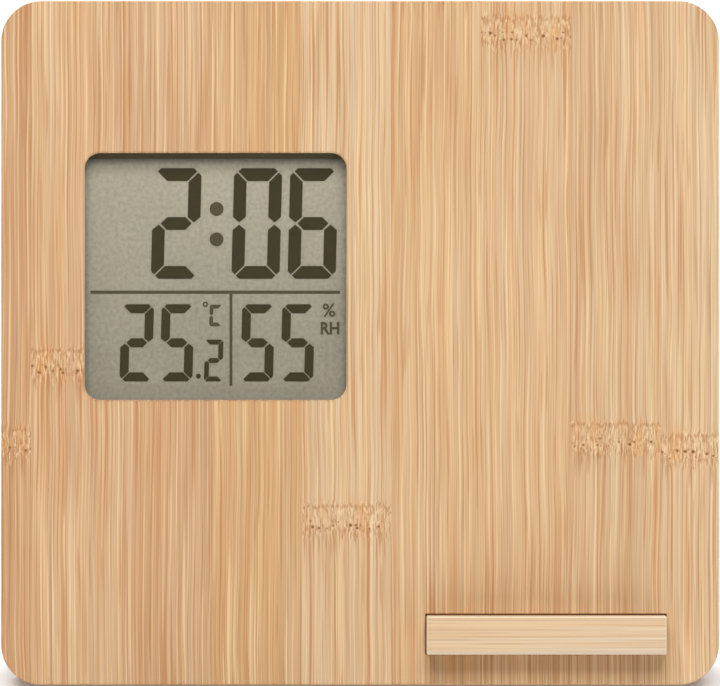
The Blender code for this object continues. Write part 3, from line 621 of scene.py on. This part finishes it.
def metal(name, colour, rough=0.3, stretch=(1.0, 1.0, 1.0)):
    """Plated or drawn metal with fine marks, longer along the short axis of stretch."""
    g = Graph(name)
    here = g.add("VectorMath", {0: g.space(), 1: stretch}, operation="MULTIPLY").outputs[0]
    marks = g.noise(here, scale=3.0, detail=4.0, roughness=0.6)
    tarnish = g.noise(here, scale=0.35, detail=2.0)
    shade = g.mix(g.scaled(tarnish, 0.3, 0.8, 0.0, 0.35), rgb(*colour), rgb(*[0.8 * c for c in colour]))
    roughness = g.spread(marks, rough - 0.07, rough + 0.1)
    return g.surface(Base_Color=shade, Metallic=1.0, Roughness=roughness, Normal=g.bump(marks, 0.006))


def clear(name, tint=(1.0, 1.0, 1.0, 1)):
    """A clear sheet: see-through, with a faint gloss that grows at grazing angles on both its sides."""
    g = Graph(name)
    here = g.space()
    smear = g.noise(here, scale=0.09, detail=3.0)
    gloss = g.add("BsdfGlossy", {"Roughness": g.scaled(smear, 0.3, 0.8, 0.03, 0.09)})
    through = g.add("BsdfTransparent", {"Color": tint})
    grazing = g.add("LayerWeight", {"Blend": 0.5}).outputs["Facing"]
    shine = g.plus(g.times(g.math("POWER", grazing, 5.0), 0.98), 0.017)
    both = g.add("MixShader", {0: shine, 1: through.outputs[0], 2: gloss.outputs[0]})
    return g.end(both.outputs[0])


def lcd_field():
    """The grey-green face of a reflective display, with painted light and shade: darker towards its foot and
    under the window's rim, and lighter just above its sill.
    """
    g = Graph("lcd_field")
    here = g.space()
    z = g.axes(here)[2]
    low, high = span("lcd_rear_glass", 2)
    # Painted shade: the face darkens from its top down to its foot.
    shade = g.mix(g.step(z, low, high), LCD_SHADED_FOOT, LCD_LIT_TOP)
    speckle = g.noise(here, scale=1.0, detail=3.0, roughness=0.65)
    cloud = g.noise(here, scale=0.06, detail=1.0)
    light = g.plus(g.spread(speckle, -0.16, 0.16), g.spread(cloud, 0.97, 1.03))
    rim = middle("display_lens").z + WINDOW[1] / 2
    sill = rim - WINDOW[1]
    # Painted shadow of the window's rim: darker just below the dark strip under the rim.
    light = g.times(light, g.step(z, rim - RIM_SHADOW_REACH - 1.6, rim - RIM_SHADOW_REACH, 1.0, 0.65))
    # Painted light: brighter over the last 11 mm above the window's sill.
    light = g.times(light, g.step(z, sill, sill + 11, 1.2, 1.0))
    shade = g.tinted(shade, g.vector(light, light, light))
    return g.surface(Base_Color=shade, Roughness=0.55, Normal=g.bump(speckle, 0.004), Specular_IOR_Level=0.2)


def lcd_ink(name, colour):
    """Liquid crystal that is switched on: dark, with the field's faint grain in it."""
    g = Graph(name)
    speckle = g.noise(g.space(), scale=2.6, detail=2.0, roughness=0.6)
    shade = g.mix(g.spread(speckle, 0.0, 0.5), rgb(*colour), rgb(*[0.86 * c for c in colour]))
    return g.surface(Base_Color=shade, Roughness=0.6, Specular_IOR_Level=0.1)


def board(name):
    """Solder mask with copper tracks under it and tinned pads."""
    g = Graph(name)
    x, y, z = g.axes(g.space())
    pitch = 1.3
    u, v = g.over(x, pitch), g.over(z, pitch)
    cell = g.vector(g.math("FLOOR", u), g.math("FLOOR", v), 2.0)
    choice = g.random(cell)
    in_u = g.math("ABSOLUTE", g.plus(g.math("FRACT", u), -0.5))
    in_v = g.math("ABSOLUTE", g.plus(g.math("FRACT", v), -0.5))
    upright = g.step(in_u, 0.15, 0.11)
    level = g.step(in_v, 0.15, 0.11)
    pick = g.math("LESS_THAN", choice, 0.55)
    tracks = g.plus(g.times(upright, pick), g.times(level, g.minus(1.0, pick)))
    tracks = g.times(tracks, g.math("LESS_THAN", choice, 0.86))
    reach = g.math("SQRT", g.plus(g.times(in_u, in_u), g.times(in_v, in_v)))
    pads = g.times(g.step(reach, 0.33, 0.29), g.math("GREATER_THAN", choice, 0.9))
    colour = g.mix(tracks, rgb(14, 74, 40), rgb(30, 112, 62))
    colour = g.mix(pads, colour, rgb(196, 190, 176))
    relief = g.bump(g.plus(g.times(tracks, 0.5), pads), 0.03)
    return g.surface(Base_Color=colour, Metallic=g.times(pads, 0.8), Roughness=0.35, Normal=relief)


def battery_sleeve():
    """A plain blue sleeve with a pale band round one end, between bare steel ends."""
    g = Graph("battery_sleeve")
    x, y, z = g.axes(g.space())
    low, high = span("battery_cell_1", 0)
    lower_row = g.math("LESS_THAN", z, (middle("battery_cell_1")[2] + middle("battery_cell_2")[2]) / 2)
    from_left = g.minus(x, low)
    from_right = g.minus(span("battery_cell_2", 0)[1], x)
    along = g.plus(g.times(lower_row, from_left), g.times(g.minus(1.0, lower_row), from_right))
    length = high - low
    sleeve = g.times(g.step(along, 0.5, 0.6), g.step(along, length - 1.6, length - 1.7))
    band = g.step(along, length - 11, length - 10.9)
    scuff = g.noise(g.vector(g.times(x, 0.2), y, z), scale=1.2, detail=3.0)
    colour = g.mix(band, rgb(22, 62, 118), rgb(206, 208, 206))
    colour = g.mix(g.scaled(scuff, 0.4, 0.8, 0.0, 0.2), colour, rgb(120, 130, 140))
    colour = g.mix(sleeve, rgb(190, 188, 182), colour)
    return g.surface(Base_Color=colour, Metallic=g.scaled(sleeve, 0, 1, 1, 0),
                     Roughness=g.spread(scuff, 0.24, 0.4))


def ferrite():
    g = Graph("ferrite")
    here = g.space()
    grain = g.noise(here, scale=6.0, detail=5.0, roughness=0.7)
    distance, own = g.cells(here, scale=1.8)
    shade = g.mix(g.step(distance, 0.1, 0.6), rgb(62, 62, 66), rgb(48, 48, 51))
    shade = g.mix(g.spread(grain, 0.0, 0.4), shade, rgb(86, 86, 90))
    return g.surface(Base_Color=shade, Roughness=0.62, Normal=g.bump(grain, 0.03))


def stranded(name, colour, metallic):
    """Twisted wire, or a sleeve over it that shows the twist."""
    g = Graph(name)
    x, y, z = g.axes(g.space())
    diagonal = g.plus(g.plus(x, z), g.times(y, 1.7))
    twist = g.math("SINE", g.times(diagonal, 7.0))
    shade = g.mix(g.scaled(twist, -1, 1, 0.0, 0.3), rgb(*colour), rgb(*[0.62 * c for c in colour]))
    return g.surface(Base_Color=shade, Metallic=metallic, Roughness=0.4, Normal=g.bump(twist, 0.03))


# --- pieces ---


def make_panel(finish):
    floor = THICK - REBATE
    lens = middle("display_lens")
    panel = slab("bamboo_board", WIDE, HIGH, PANEL_CORNER, eased(0, THICK, PANEL_EASE, PANEL_EASE), 20)
    window_x, window_z = about(lens.x, WINDOW[0] / 2), about(lens.z, WINDOW[1] / 2)
    slot_x, slot_z = [grown(span("phone_ledge", axis), LEDGE_SLOT_GAP) for axis in (0, 2)]
    guide = span("phone_ledge", 1)[1]
    stop_x, stop_z = [grown(span("ledge_stop", axis), STOP_ROOM) for axis in (0, 2)]
    hollow = [(SKIN, 0), (floor + 1, 0)]
    cutters = [
        slab("rebate", grown(WIDE, -RIM), grown(HIGH, -RIM), COVER_CORNER, [(floor, 0), (THICK + 5, 0)]),
        slab("pocket", (-POCKET_SIDE, LAND_X), (POCKET_LOW, POCKET_HIGH), 3, hollow, 5),
        slab("side_pocket", (LAND_X - 5, POCKET_SIDE), (LAND_Z, POCKET_HIGH), 3, hollow, 5),
        slab("window", window_x, window_z, WINDOW_CORNER, flared(SKIN + 1, WINDOW_CHAMFER), 12),
        slab("ledge_slot", slot_x, slot_z, 0.1, flared(guide + 1, SLOT_CHAMFER), 2),
        block("stop_pocket", stop_x, (guide, floor + 1), (stop_z[0], POCKET_LOW + 1)),
    ]
    for name in SCREWS:
        cutters.append(rod("pilot_" + name, SCREW_R + GAP, floor - 7, floor + 2, middle(name), 24))
    carve(panel, cutters + table_cutters())
    settle(panel, finish, nodes=["bamboo_panel"])


def table_cutters():
    """Tools that plane the panel's foot flat, just over the table, and make room for its pads."""
    cutters = [block("underside", (-120, 120), (-120, 120), (-60, GAP))]
    for name in ("base_pad_left", "base_pad_right"):
        low, high = [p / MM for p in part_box(name)]
        room = grown((low.x, high.x)), grown((low.y, high.y)), (-5, high.z + GAP)
        cutters.append(block(name + "_room", *room))
    for cutter in cutters:
        cutter.data.transform(PANEL.inverted() @ Matrix.Scale(MM, 4))
    return cutters


def make_ledge(finish):
    low, high = limits("phone_ledge")
    ledge = slab("ledge_bar", (low.x, high.x), (low.z, high.z), 0.3, eased(low.y, high.y, 0.45, 0.2), 4)
    settle(ledge, finish, "ledge", ["phone_ledge"])


def make_cover(finish):
    cover = slab("back_shell", COVER_X, COVER_Z, COVER_CORNER, eased(COVER_FRONT, BACK, 0, COVER_EASE, 8), 16)
    hollow = slab("hollow", grown(COVER_X, -WALL), grown(COVER_Z, -WALL), COVER_CORNER - WALL,
                  eased(0, INNER, 0, 0.6), 8)
    carve(cover, [hollow])
    leg_side = span("stand_leg", 0)[1] + 0.4
    pin = span("hinge_pin", 0)[1] + 0.4
    side, front, foot, top = DOOR_FRAME
    channel_z = (COVER_Z[0] + 0.9, HINGE.z + 6)
    build_on(cover, [
        block("channel_block", about(0, leg_side + 1.5), (CHANNEL_FRONT, INTO_WALL), channel_z),
        block("hinge_block", about(0, pin), (HINGE_FRONT, INTO_WALL), (HINGE.z - 6, HINGE.z + 8)),
        block("door_block", (COVER_X[0] + 0.9, side), (front, INTO_WALL), (foot, top)),
        barrel("hinge_ears", pin, 0.4),
    ])
    cutters = [cross_rod("pin_hole", PIN_R + GAP, pin - 0.15, sides=36)]
    for name in SCREWS:
        at = middle(name)
        build_on(cover, [rod("boss_" + name, 3.4, COVER_FRONT, INTO_WALL, at, 40)])
        well = [(0, SCREW_SEAT), (2.5, SCREW_SEAT), (2.5, BACK - 0.3), (3.8, BACK + 1), (0, BACK + 1)]
        cutters.append(turned("well_" + name, well, (at.x, 0, at.z), sides=40))
        cutters.append(rod("hole_" + name, SCREW_R + GAP, 0, SCREW_SEAT + 1, at, 24))
    channel = [(CHANNEL_FLOOR, 0.35), (CHANNEL_FLOOR + 0.35, 0), (BACK - 0.25, 0), (BACK + 4, -4)]
    cutters.append(slab("leg_channel", about(0, leg_side), (-5, HINGE.z + HEEL + 0.5), 0.6, channel, 3))
    swing = cross_rod("heel_swing", HEEL + 0.7, leg_side)
    stop = block("heel_stop", (-30, 30), (-21.5, -1.5), (-20, 20))
    stop.data.transform(Matrix.Translation(HINGE) @ Matrix.Rotation(STAND_OPEN, 4, "X"))
    carve(swing, [stop])
    cutters += [swing, cross_rod("barrel_room", BARREL_R + 0.4, leg_side, sides=44)]
    cutters += door_cutters()
    for name in BUTTONS:
        at = middle("button_" + name)
        mouth = [(0, 10), (3.35, 10), (3.35, BACK - 0.25), (4.1, BACK + 0.5), (0, BACK + 0.5)]
        cutters.append(turned(f"button_hole_{name}", mouth, (at.x, 0, at.z)))
    carve(cover, cutters + vent_cutters() + [usb_hole()])
    settle(cover, finish, nodes=["rear_cover"])


def door_cutters():
    inner_x, inner_z = [grown(span("battery_tray", axis), -1.0) for axis in (0, 2)]
    door_x, door_z = [grown(span("battery_door", axis)) for axis in (0, 2)]
    seat = span("battery_door", 1)[0] - GAP
    opening = block("door_opening", inner_x, (10, 30), inner_z, 0.4)
    rebate = slab("door_rebate", door_x, door_z, 0.8, [(seat, 0), (BACK - 0.2, 0), (BACK + 1, -1.2)], 5)
    return [opening, rebate]


def vent_cutters():
    """Two rows of round-ended slots."""
    pitch, count, first, half, height = 4.2, 6, 34.5, 0.8, (130.0, 141.0)
    sections = [(15, 0), (BACK - 0.25, 0), (BACK + 0.5, -0.75)]
    cutters = []
    for side in (-1, 1):
        for i in range(count):
            x = about(side * (first + i * pitch), half)
            cutters.append(slab(f"vent_{side}_{i}", x, height, half - 0.01, sections, 6))
    return cutters


def sideways(ob):
    """Swaps x and y, and keeps the faces outwards."""
    ob.data.transform(SIDEWAYS)
    ob.data.flip_normals()
    return ob


def usb_hole():
    wall = COVER_X[1]
    across, along = [grown(span("usb_c_port", axis)) for axis in (1, 2)]
    sections = [(wall - 5, 0), (wall - 0.2, 0), (wall + 1, -1.2)]
    return sideways(slab("usb_hole", across, along, (across[1] - across[0]) / 2 - 0.01, sections, 10))


def make_stand(finish, foot_finish):
    low, high = limits("stand_leg", LEG)
    axis = Vector((0, 0, 0))
    half = LEAF_THICK / 2
    leg = slab("stand_leaf", (low.x, high.x), (low.z, high.z), 1.2, eased(-half, half, 0.45, 0.45), 6)
    build_on(leg, [barrel("leg_barrel", high.x, 0.3, axis)])
    bore = cross_rod("leg_bore", PIN_R + GAP, 40, axis, 32)
    grip_z = (low.z + 8.7, low.z + 20.7)
    grip = slab("grip", (-9, 9), grip_z, 4, [(half - 0.8, 0.5), (half - 0.3, 0), (half + 1, -0.5)], 10)
    carve(leg, [bore, grip])
    settle(leg, finish, "stand", ["stand_leg"], LEG)
    make_foot(foot_finish)


def make_foot(finish):
    """The rubber foot: its underside flat on the table, with grooves across it."""
    low, high = limits("stand_foot", LEG)
    foot = linked("foot_pad", foot_mesh(frame["nodes"]["stand_foot"]))
    bevel = foot.modifiers.new("ease", "BEVEL")
    bevel.width = 0.25
    bevel.segments = 3
    bevel.limit_method = "ANGLE"
    bevel.angle_limit = radians(30)
    for i in range(3):
        x = low.x + (i + 1) * (high.x - low.x) / 4
        groove = block(f"groove_{i}", about(x, 0.5), (low.y + 0.6, high.y - 0.6), (low.z - 2, low.z + 0.6))
        carve(foot, [groove])
    settle(foot, finish, "stand", ["stand_foot"], LEG)


def foot_mesh(node):
    """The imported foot's own form, in the leg's millimetres, with its flat faces whole."""
    bm = bmesh.new()
    bm.from_mesh(node.data)
    bmesh.ops.transform(bm, matrix=LEG.inverted(), verts=bm.verts)
    bmesh.ops.remove_doubles(bm, verts=bm.verts, dist=0.001)
    bmesh.ops.dissolve_limit(bm, angle_limit=radians(1), verts=bm.verts, edges=bm.edges)
    return bm


def make_buttons(finish, sign_finish):
    """Domed caps with a raised pale sign on each: a ring, a plus, a minus and a degree mark."""
    signs = {
        "set": [("ring", 1.35, 0.42)],
        "up": [("bar", 0.24, 1.35), ("bar", 1.35, 0.24)],
        "down": [("bar", 1.35, 0.24)],
        "unit": [("ring", 0.8, 0.34)],
    }
    shapes = {"ring": ring_sign, "bar": bar_sign}
    for name in BUTTONS:
        low, high = limits("button_" + name)
        at = middle("button_" + name)
        crown = high.y - 0.2
        stem, radius, flange = 1.5, 3.0, 4.0
        shoulder = INNER - GAP
        under = shoulder - 0.7
        fall = 0.55 / (1 - cos(1.1))
        dome = [(radius * sin(a), crown - fall * (1 - cos(a)) * sin(a)) for a in (1.35, 1.1, 0.8, 0.5, 0.25)]
        profile = [(0, low.y), (stem, low.y), (stem, under), (flange, under), (flange, shoulder),
                   (radius, shoulder), (radius, crown - 0.75), *dome, (0, crown)]
        cap = turned("cap_" + name, profile, (at.x, 0, at.z))
        body = f"button_{name}_body"
        settle(cap, finish, body, ["button_" + name])
        first, *rest = [
            shapes[kind](f"sign_{name}" + "_bar" * number, at, crown, high.y, a, b)
            for number, (kind, a, b) in enumerate(signs[name])
        ]
        build_on(first, rest)
        settle(first, sign_finish, body)


def bar_sign(name, at, crown, top, half_x, half_z):
    sections = [(crown - 0.5, 0), (top - 0.05, 0), (top, 0.06)]
    return slab(name, about(at.x, half_x), about(at.z, half_z), 0.18, sections, 4)


def ring_sign(name, at, crown, top, radius, thick):
    low = crown - 0.5
    profile = [(0, low), (radius, low), (radius, top - 0.05), (radius - 0.06, top), (0, top)]
    ring = turned(name, profile, (at.x, 0, at.z), sides=32)
    carve(ring, [rod(name + "_hole", radius - thick, crown - 0.05, top + 1, at)])
    return ring


def make_door(finish):
    low, high = limits("battery_door")
    door = slab("door_panel", (low.x, high.x), (low.z, high.z), 0.7, eased(low.y, high.y, 0, 0.3, 3), 5)
    groove_z = about(middle("battery_door").z, 6)
    sections = [(high.y - 0.5, 0.2), (high.y - 0.2, 0), (high.y + 0.5, -0.5)]
    for i in range(4):
        groove_x = about(high.x - 9 + i * 1.8, 0.45)
        carve(door, [slab(f"groove_{i}", groove_x, groove_z, 0.44, sections, 5)])
    settle(door, finish, "door", ["battery_door"])


def make_cover_screws(finish):
    """Pan heads with a cross recess, on threaded shanks."""
    for name in SCREWS:
        low, high = limits(name)
        at = middle(name)
        seat = high.y - 1.3
        head = [(2.0 * cos(a), seat + 0.25 + 1.05 * sin(a)) for a in (0.0, 0.25, 0.5, 0.8, 1.1, 1.35)]
        shank = thread(low.y, seat - 0.4)
        profile = [(0, low.y)] + shank + [(SCREW_R - 0.15, seat), (2.0, seat)] + head + [(0, high.y)]
        screw = turned("case_" + name, profile, (at.x, 0, at.z), sides=40)
        depth = (high.y - 0.75, high.y + 1)
        for half_x, half_z in ((1.15, 0.26), (0.26, 1.15)):
            carve(screw, [block(name + "_slot", about(at.x, half_x), depth, about(at.z, half_z))])
        settle(screw, finish, nodes=[name])


def thread(tip, end):
    """Profile of a thread from a pointed tip, crests no wider than the shank."""
    pitch = 0.9
    points = [(0.3, tip + 0.2)]
    count = int((end - tip - 0.8) / pitch)
    for i in range(count):
        root = tip + 0.8 + i * pitch
        points += [(SCREW_R - 0.28, root), (SCREW_R, root + pitch * 0.5)]
    return points + [(SCREW_R - 0.28, tip + 0.8 + count * pitch)]


def make_port(finish, tongue_finish, contact_finish):
    """The USB-C shell, its tongue and the contacts on both faces of it."""
    (inner, outer), y, z = [span("usb_c_port", axis) for axis in range(3)]
    at = middle("usb_c_port")
    wall = 0.3
    corner = (y[1] - y[0]) / 2 - 0.01
    shell = slab("port_shell", y, z, corner, eased(inner, outer, 0.15, 0.12, 2), 12)
    mouth = [(inner + 1, 0), (outer - 0.1, 0), (outer + 1, -0.8)]
    throat = slab("throat", grown(y, -wall), grown(z, -wall), corner - wall, mouth, 12)
    carve(sideways(shell), [sideways(throat)])
    settle(shell, finish, nodes=["usb_c_port"])
    tip = outer - 1
    sections = eased(inner + 1.05, tip, 0, 0.15, 2)
    tongue = slab("port_tongue", about(at.y, 0.35), about(at.z, 3.3), 0.3, sections, 4)
    settle(sideways(tongue), tongue_finish)
    contacts = bmesh.new()
    size = Matrix.Diagonal((3.6, 0.05, 0.26, 1))
    for face in (-1, 1):
        for i in range(12):
            spot = (tip - 2.1, at.y + face * 0.36, at.z + (i - 5.5) * 0.5)
            bmesh.ops.create_cube(contacts, size=1, matrix=Matrix.Translation(spot) @ size)
    settle(linked("port_contacts", contacts), contact_finish)


# --- the display's image ---

SLANT = 0.026
DIGITS = {"0": "abcdef", "2": "abged", "5": "afgcd", "6": "afgedc", "C": "afed"}
BIG = dict(wide=10.75, high=24.7, thick=2.86, chamfer=1.7, gap=0.34)
SMALL = dict(wide=7.3, high=17.2, thick=2.0, chamfer=1.15, gap=0.22)
TENTH = dict(wide=4.15, high=9.3, thick=1.08, chamfer=0.55, gap=0.12)
LETTER = dict(wide=2.75, high=4.8, thick=0.84, chamfer=0.4, gap=0.06)
CLOCK = (("2", -46.75), ("0", -28.75), ("6", -16.2))
DEGREES_AND_HUMIDITY = (("2", -53.75), ("5", -44.75), ("5", -26.75), ("5", -17.8))
RULE_X, RULE_Z, RULE_HALF = -28.84, 87.6, 0.32


def segment_shapes(wide, high, thick, chamfer, gap):
    """The seven bars of a digit as (x, height) outlines, with its lower left corner at nothing."""
    e = gap / sqrt(2)
    centre = high / 2
    tip = 0.25 * thick / 2.86
    point = thick * 0.42
    top = [((chamfer + e) / 2, (chamfer - e) / 2), (chamfer, 0), (wide - chamfer, 0),
           (wide - (chamfer + e) / 2, (chamfer - e) / 2), (wide - thick - e, thick), (thick + e, thick)]
    left = [((chamfer - e) / 2, (chamfer + e) / 2), (thick, thick + e), (thick, centre - tip - point),
            (thick / 2, centre - tip), (0, centre - tip - point), (0, chamfer)]
    reach, half = thick * 0.67, thick / 2
    bar = [(reach, centre), (reach + half, centre - half), (wide - reach - half, centre - half),
           (wide - reach, centre), (wide - reach - half, centre + half), (reach + half, centre + half)]
    down = {"a": top, "f": left, "g": bar, "b": [(wide - x, y) for x, y in left]}
    down["d"] = [(x, high - y) for x, y in top]
    down["e"] = [(x, high - y) for x, y in left]
    down["c"] = [(wide - x, high - y) for x, y in left]
    return {name: [(x, high - y) for x, y in points] for name, points in down.items()}


def add_plate(bm, points, y):
    """A thin plate of liquid crystal with that (x, z) outline."""
    front = [bm.verts.new((x, y[0], z)) for x, z in points]
    back = [bm.verts.new((x, y[1], z)) for x, z in points]
    bm.faces.new(front)
    bm.faces.new(list(reversed(back)))
    for i in range(len(points)):
        j = (i + 1) % len(points)
        bm.faces.new((front[i], back[i], back[j], front[j]))


def add_digit(bm, digit, left, foot, style, y):
    shapes = segment_shapes(**style)
    for name in DIGITS[digit]:
        add_plate(bm, [(left + px + SLANT * pz, foot + pz) for px, pz in shapes[name]], y)


def add_disc(bm, x, z, radius, y, sides=32):
    add_plate(bm, [(x + radius * cos(2 * pi * i / sides), z + radius * sin(2 * pi * i / sides))
                   for i in range(sides)], y)


def add_ring(bm, x, z, outer, inner, y, sides=24):
    for i in range(sides):
        a, b = 2 * pi * i / sides, 2 * pi * (i + 1) / sides
        corners = [(outer, a), (outer, b), (inner, b), (inner, a)]
        add_plate(bm, [(x + r * cos(t), z + r * sin(t)) for r, t in corners], y)


def text_piece(name, words, x, z, high, y, finish, bolder=0.0, wider=1.0):
    """Plain capitals, cut from the built-in letters and laid flat in the display."""
    curve = bpy.data.curves.new(name, "FONT")
    curve.body = words
    curve.size = high / 0.7
    curve.offset = bolder
    curve.extrude = (y[1] - y[0]) / 2
    curve.align_x = "CENTER"
    curve.resolution_u = 4
    letters = shown(name, curve)
    mesh = baked(letters)
    bpy.data.objects.remove(letters)
    upright = Matrix.Rotation(pi / 2, 4, "X") @ Matrix.Diagonal((wider, 1, 1, 1))
    mesh.transform(Matrix.Translation((x, (y[0] + y[1]) / 2, z)) @ upright)
    settle(shown(name, mesh), finish)


def add_box(bm, x, z, y):
    add_plate(bm, [(x[0], z[0]), (x[1], z[0]), (x[1], z[1]), (x[0], z[1])], y)


def make_readings(ink, pale_ink, rim_shadow_ink):
    """What the display shows: a time, a temperature and a humidity, all made up; and a dark strip of painted
    shadow under the window's top rim.
    """
    face = span("lcd_rear_glass", 1)[0]
    y = (face - 0.16, face - 0.06)
    lens = middle("display_lens")
    big_foot, small_foot = lens.z - 0.5, lens.z - 23.4
    dark = bmesh.new()
    for digit, left in CLOCK:
        add_digit(dark, digit, left, big_foot, BIG, y)
    for digit, left in DEGREES_AND_HUMIDITY:
        add_digit(dark, digit, left, small_foot, SMALL, y)
    add_digit(dark, "2", -34.9, small_foot, TENTH, y)
    add_disc(dark, -36.1, small_foot + 1.15, 0.54, y)
    settle(linked("display_digits", dark), ink)

    pale = bmesh.new()
    for z in (106.2, 99.4):
        add_disc(pale, -32.05, z, 1.55, y)
    add_ring(pale, -34.54, 84.9, 0.6, 0.3, y)
    add_digit(pale, "C", -33.7, 80.0, LETTER, y)
    add_box(pale, (-60.2, -4.5), about(RULE_Z, RULE_HALF), y)
    add_box(pale, about(RULE_X, RULE_HALF), (66.7, 87.2), y)
    settle(linked("display_rules", pale), pale_ink)

    # A dark strip under the window's top rim: painted shadow that the rim casts on the display.
    rim_shadow_strip = bmesh.new()
    rim = lens.z + WINDOW[1] / 2
    add_box(rim_shadow_strip, about(lens.x, WINDOW[0] / 2 + GAP), (rim - RIM_SHADOW_REACH, rim + GAP), y)
    settle(linked("display_rim_shadow", rim_shadow_strip), rim_shadow_ink)
    text_piece("display_percent", "%", -6.93, 82.2, 2.85, y, pale_ink, 0.06, 1.07)
    text_piece("display_unit", "RH", -6.71, 78.3, 2.6, y, pale_ink, 0.12, 0.9)


# --- stage ---

CAMERA_AWAY = 2.5
FRAME_WIDE = 0.1605  # how much the view takes in at the panel's face
SENSOR = 36.0


def aimed(name, data, centre, way, away):
    """A camera or light that stands some way off a point and faces it."""
    ob = shown(name, data)
    ob.location = centre + way * away
    ob.rotation_euler = (-way).to_track_quat("-Z", "Y").to_euler()
    return ob


def make_camera():
    """Square on to the panel's face."""
    centre = PANEL @ Vector((0, 0, (HIGH[0] + HIGH[1]) / 2))
    out = TILT @ Vector((0, -1, 0))
    data = bpy.data.cameras.new("camera")
    data.sensor_width = SENSOR
    data.lens = SENSOR * CAMERA_AWAY / FRAME_WIDE
    data.clip_start = 0.05
    bpy.context.scene.camera = aimed("camera", data, centre, out, CAMERA_AWAY)
    return centre


def softbox(name, centre, azimuth, elevation, away, size, power):
    """A square light that faces a point. Azimuth 0 is in front and 90 on the right."""
    a, e = radians(azimuth), radians(elevation)
    way = Vector((sin(a) * cos(e), -cos(a) * cos(e), sin(e)))
    data = bpy.data.lights.new(name, "AREA")
    data.size = size
    data.energy = power
    aimed(name, data, centre, way, away)


def make_floor():
    g = Graph("studio_floor")
    here = g.add("TexCoord", {}).outputs["Object"]
    cloud = g.noise(here, scale=3.0, detail=2.0)
    shade = g.mix(cloud, (0.78, 0.78, 0.78, 1), (0.8, 0.8, 0.8, 1))
    finish = g.surface(Base_Color=shade, Roughness=0.8, Emission_Color=(1, 1, 1, 1), Emission_Strength=0.14)
    bm = bmesh.new()
    bmesh.ops.create_grid(bm, x_segments=1, y_segments=1, size=20)
    floor = linked("studio_floor", bm)
    floor.data.materials.append(finish)


def make_light(centre):
    world = bpy.data.worlds.new("studio")
    world.use_nodes = True
    background = world.node_tree.nodes["Background"]
    background.inputs["Color"].default_value = (1, 1, 1, 1)
    background.inputs["Strength"].default_value = 0.2
    bpy.context.scene.world = world
    softbox("key", centre, 0, 50, 1.6, 0.83, 18.0)
    softbox("back_left", centre, 215, 45, 1.8, 0.9, 18)
    softbox("back_right", centre, 140, 40, 1.8, 0.9, 14)
    bpy.context.scene.view_settings.view_transform = "Standard"


# --- everything ---


def finish_nodes(finishes):
    """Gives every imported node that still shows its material."""
    for finish, names in finishes:
        for name in names:
            data = frame["nodes"][name].data
            data.materials.clear()
            data.materials.append(finish)


cover_plastic = moulded("cover_plastic", (226, 223, 216))
frame_plastic = moulded("frame_plastic", (214, 212, 206), rough=0.45)
black_plastic = moulded("black_plastic", (34, 34, 36), rough=0.42)
black_epoxy = moulded("black_epoxy", (26, 26, 28), grain=4.0, rough=0.55)
soft_rubber = rubber("soft_rubber")
button_rubber = rubber("button_rubber", (120, 119, 116))
elastomer = rubber("elastomer", (60, 58, 60))
steel = metal("steel", (190, 190, 188))
nickel = metal("nickel", (206, 200, 186), 0.24, (1.0, 1.0, 0.2))
gold = metal("gold_contacts", (222, 186, 110), 0.3)
circuit = board("circuit_board")
ink = lcd_ink("lcd_ink", (71, 62, 34))
pale_ink = lcd_ink("lcd_pale_ink", (97, 88, 61))

finish_nodes([
    (clear("clear_acrylic"), ["display_lens"]),
    (clear("lcd_glass", (0.98, 0.98, 0.975, 1)), ["lcd_front_glass"]),
    (lcd_field(), ["lcd_rear_glass", "lcd_reflector"]),
    (frame_plastic, ["lcd_frame", "coil_carrier"]),
    (cover_plastic, ["battery_tray"]),
    (elastomer, ["zebra_connector"]),
    (soft_rubber, ["base_pad_left", "base_pad_right"]),
    (circuit, ["main_pcb", "charger_pcb", "sensor_board"]),
    (black_epoxy, ["controller_chip", "charger_controller", "humidity_sensor"]),
    (black_plastic, ["buzzer", *[f"switch_{name}" for name in BUTTONS]]),
    (steel, ["hinge_pin", "clock_crystal", "ledge_stop", *[f"board_screw_{i}" for i in range(1, 5)]]),
    (nickel, [f"contact_{name}" for name in ("negative", "positive", "bridge")]),
    (nickel, ["battery_spring_1", "battery_spring_2"]),
    (battery_sleeve(), ["battery_cell_1", "battery_cell_2"]),
    (ferrite(), ["ferrite_sheet", "power_inductor"]),
    (stranded("copper_wire", (214, 138, 84), 1.0), ["charging_coil", "coil_lead"]),
    (stranded("red_insulation", (168, 30, 26), 0.0), ["battery_lead_red"]),
    (stranded("black_insulation", (32, 32, 34), 0.0), ["battery_lead_black"]),
    (stranded("grey_insulation", (140, 141, 144), 0.0), ["link_cable", "sensor_lead"]),
])
make_panel(bamboo())
make_ledge(ledge_bamboo())
make_cover(cover_plastic)
make_stand(cover_plastic, soft_rubber)
make_buttons(button_rubber, rubber("button_signs", (216, 215, 210)))
make_door(cover_plastic)
make_cover_screws(steel)
make_port(steel, black_plastic, gold)
# The last ink here is the painted shadow under the window's rim.
make_readings(ink, pale_ink, lcd_ink("lcd_rim_shadow", (124, 112, 80)))

scene_centre = make_camera()
make_floor()
make_light(scene_centre)
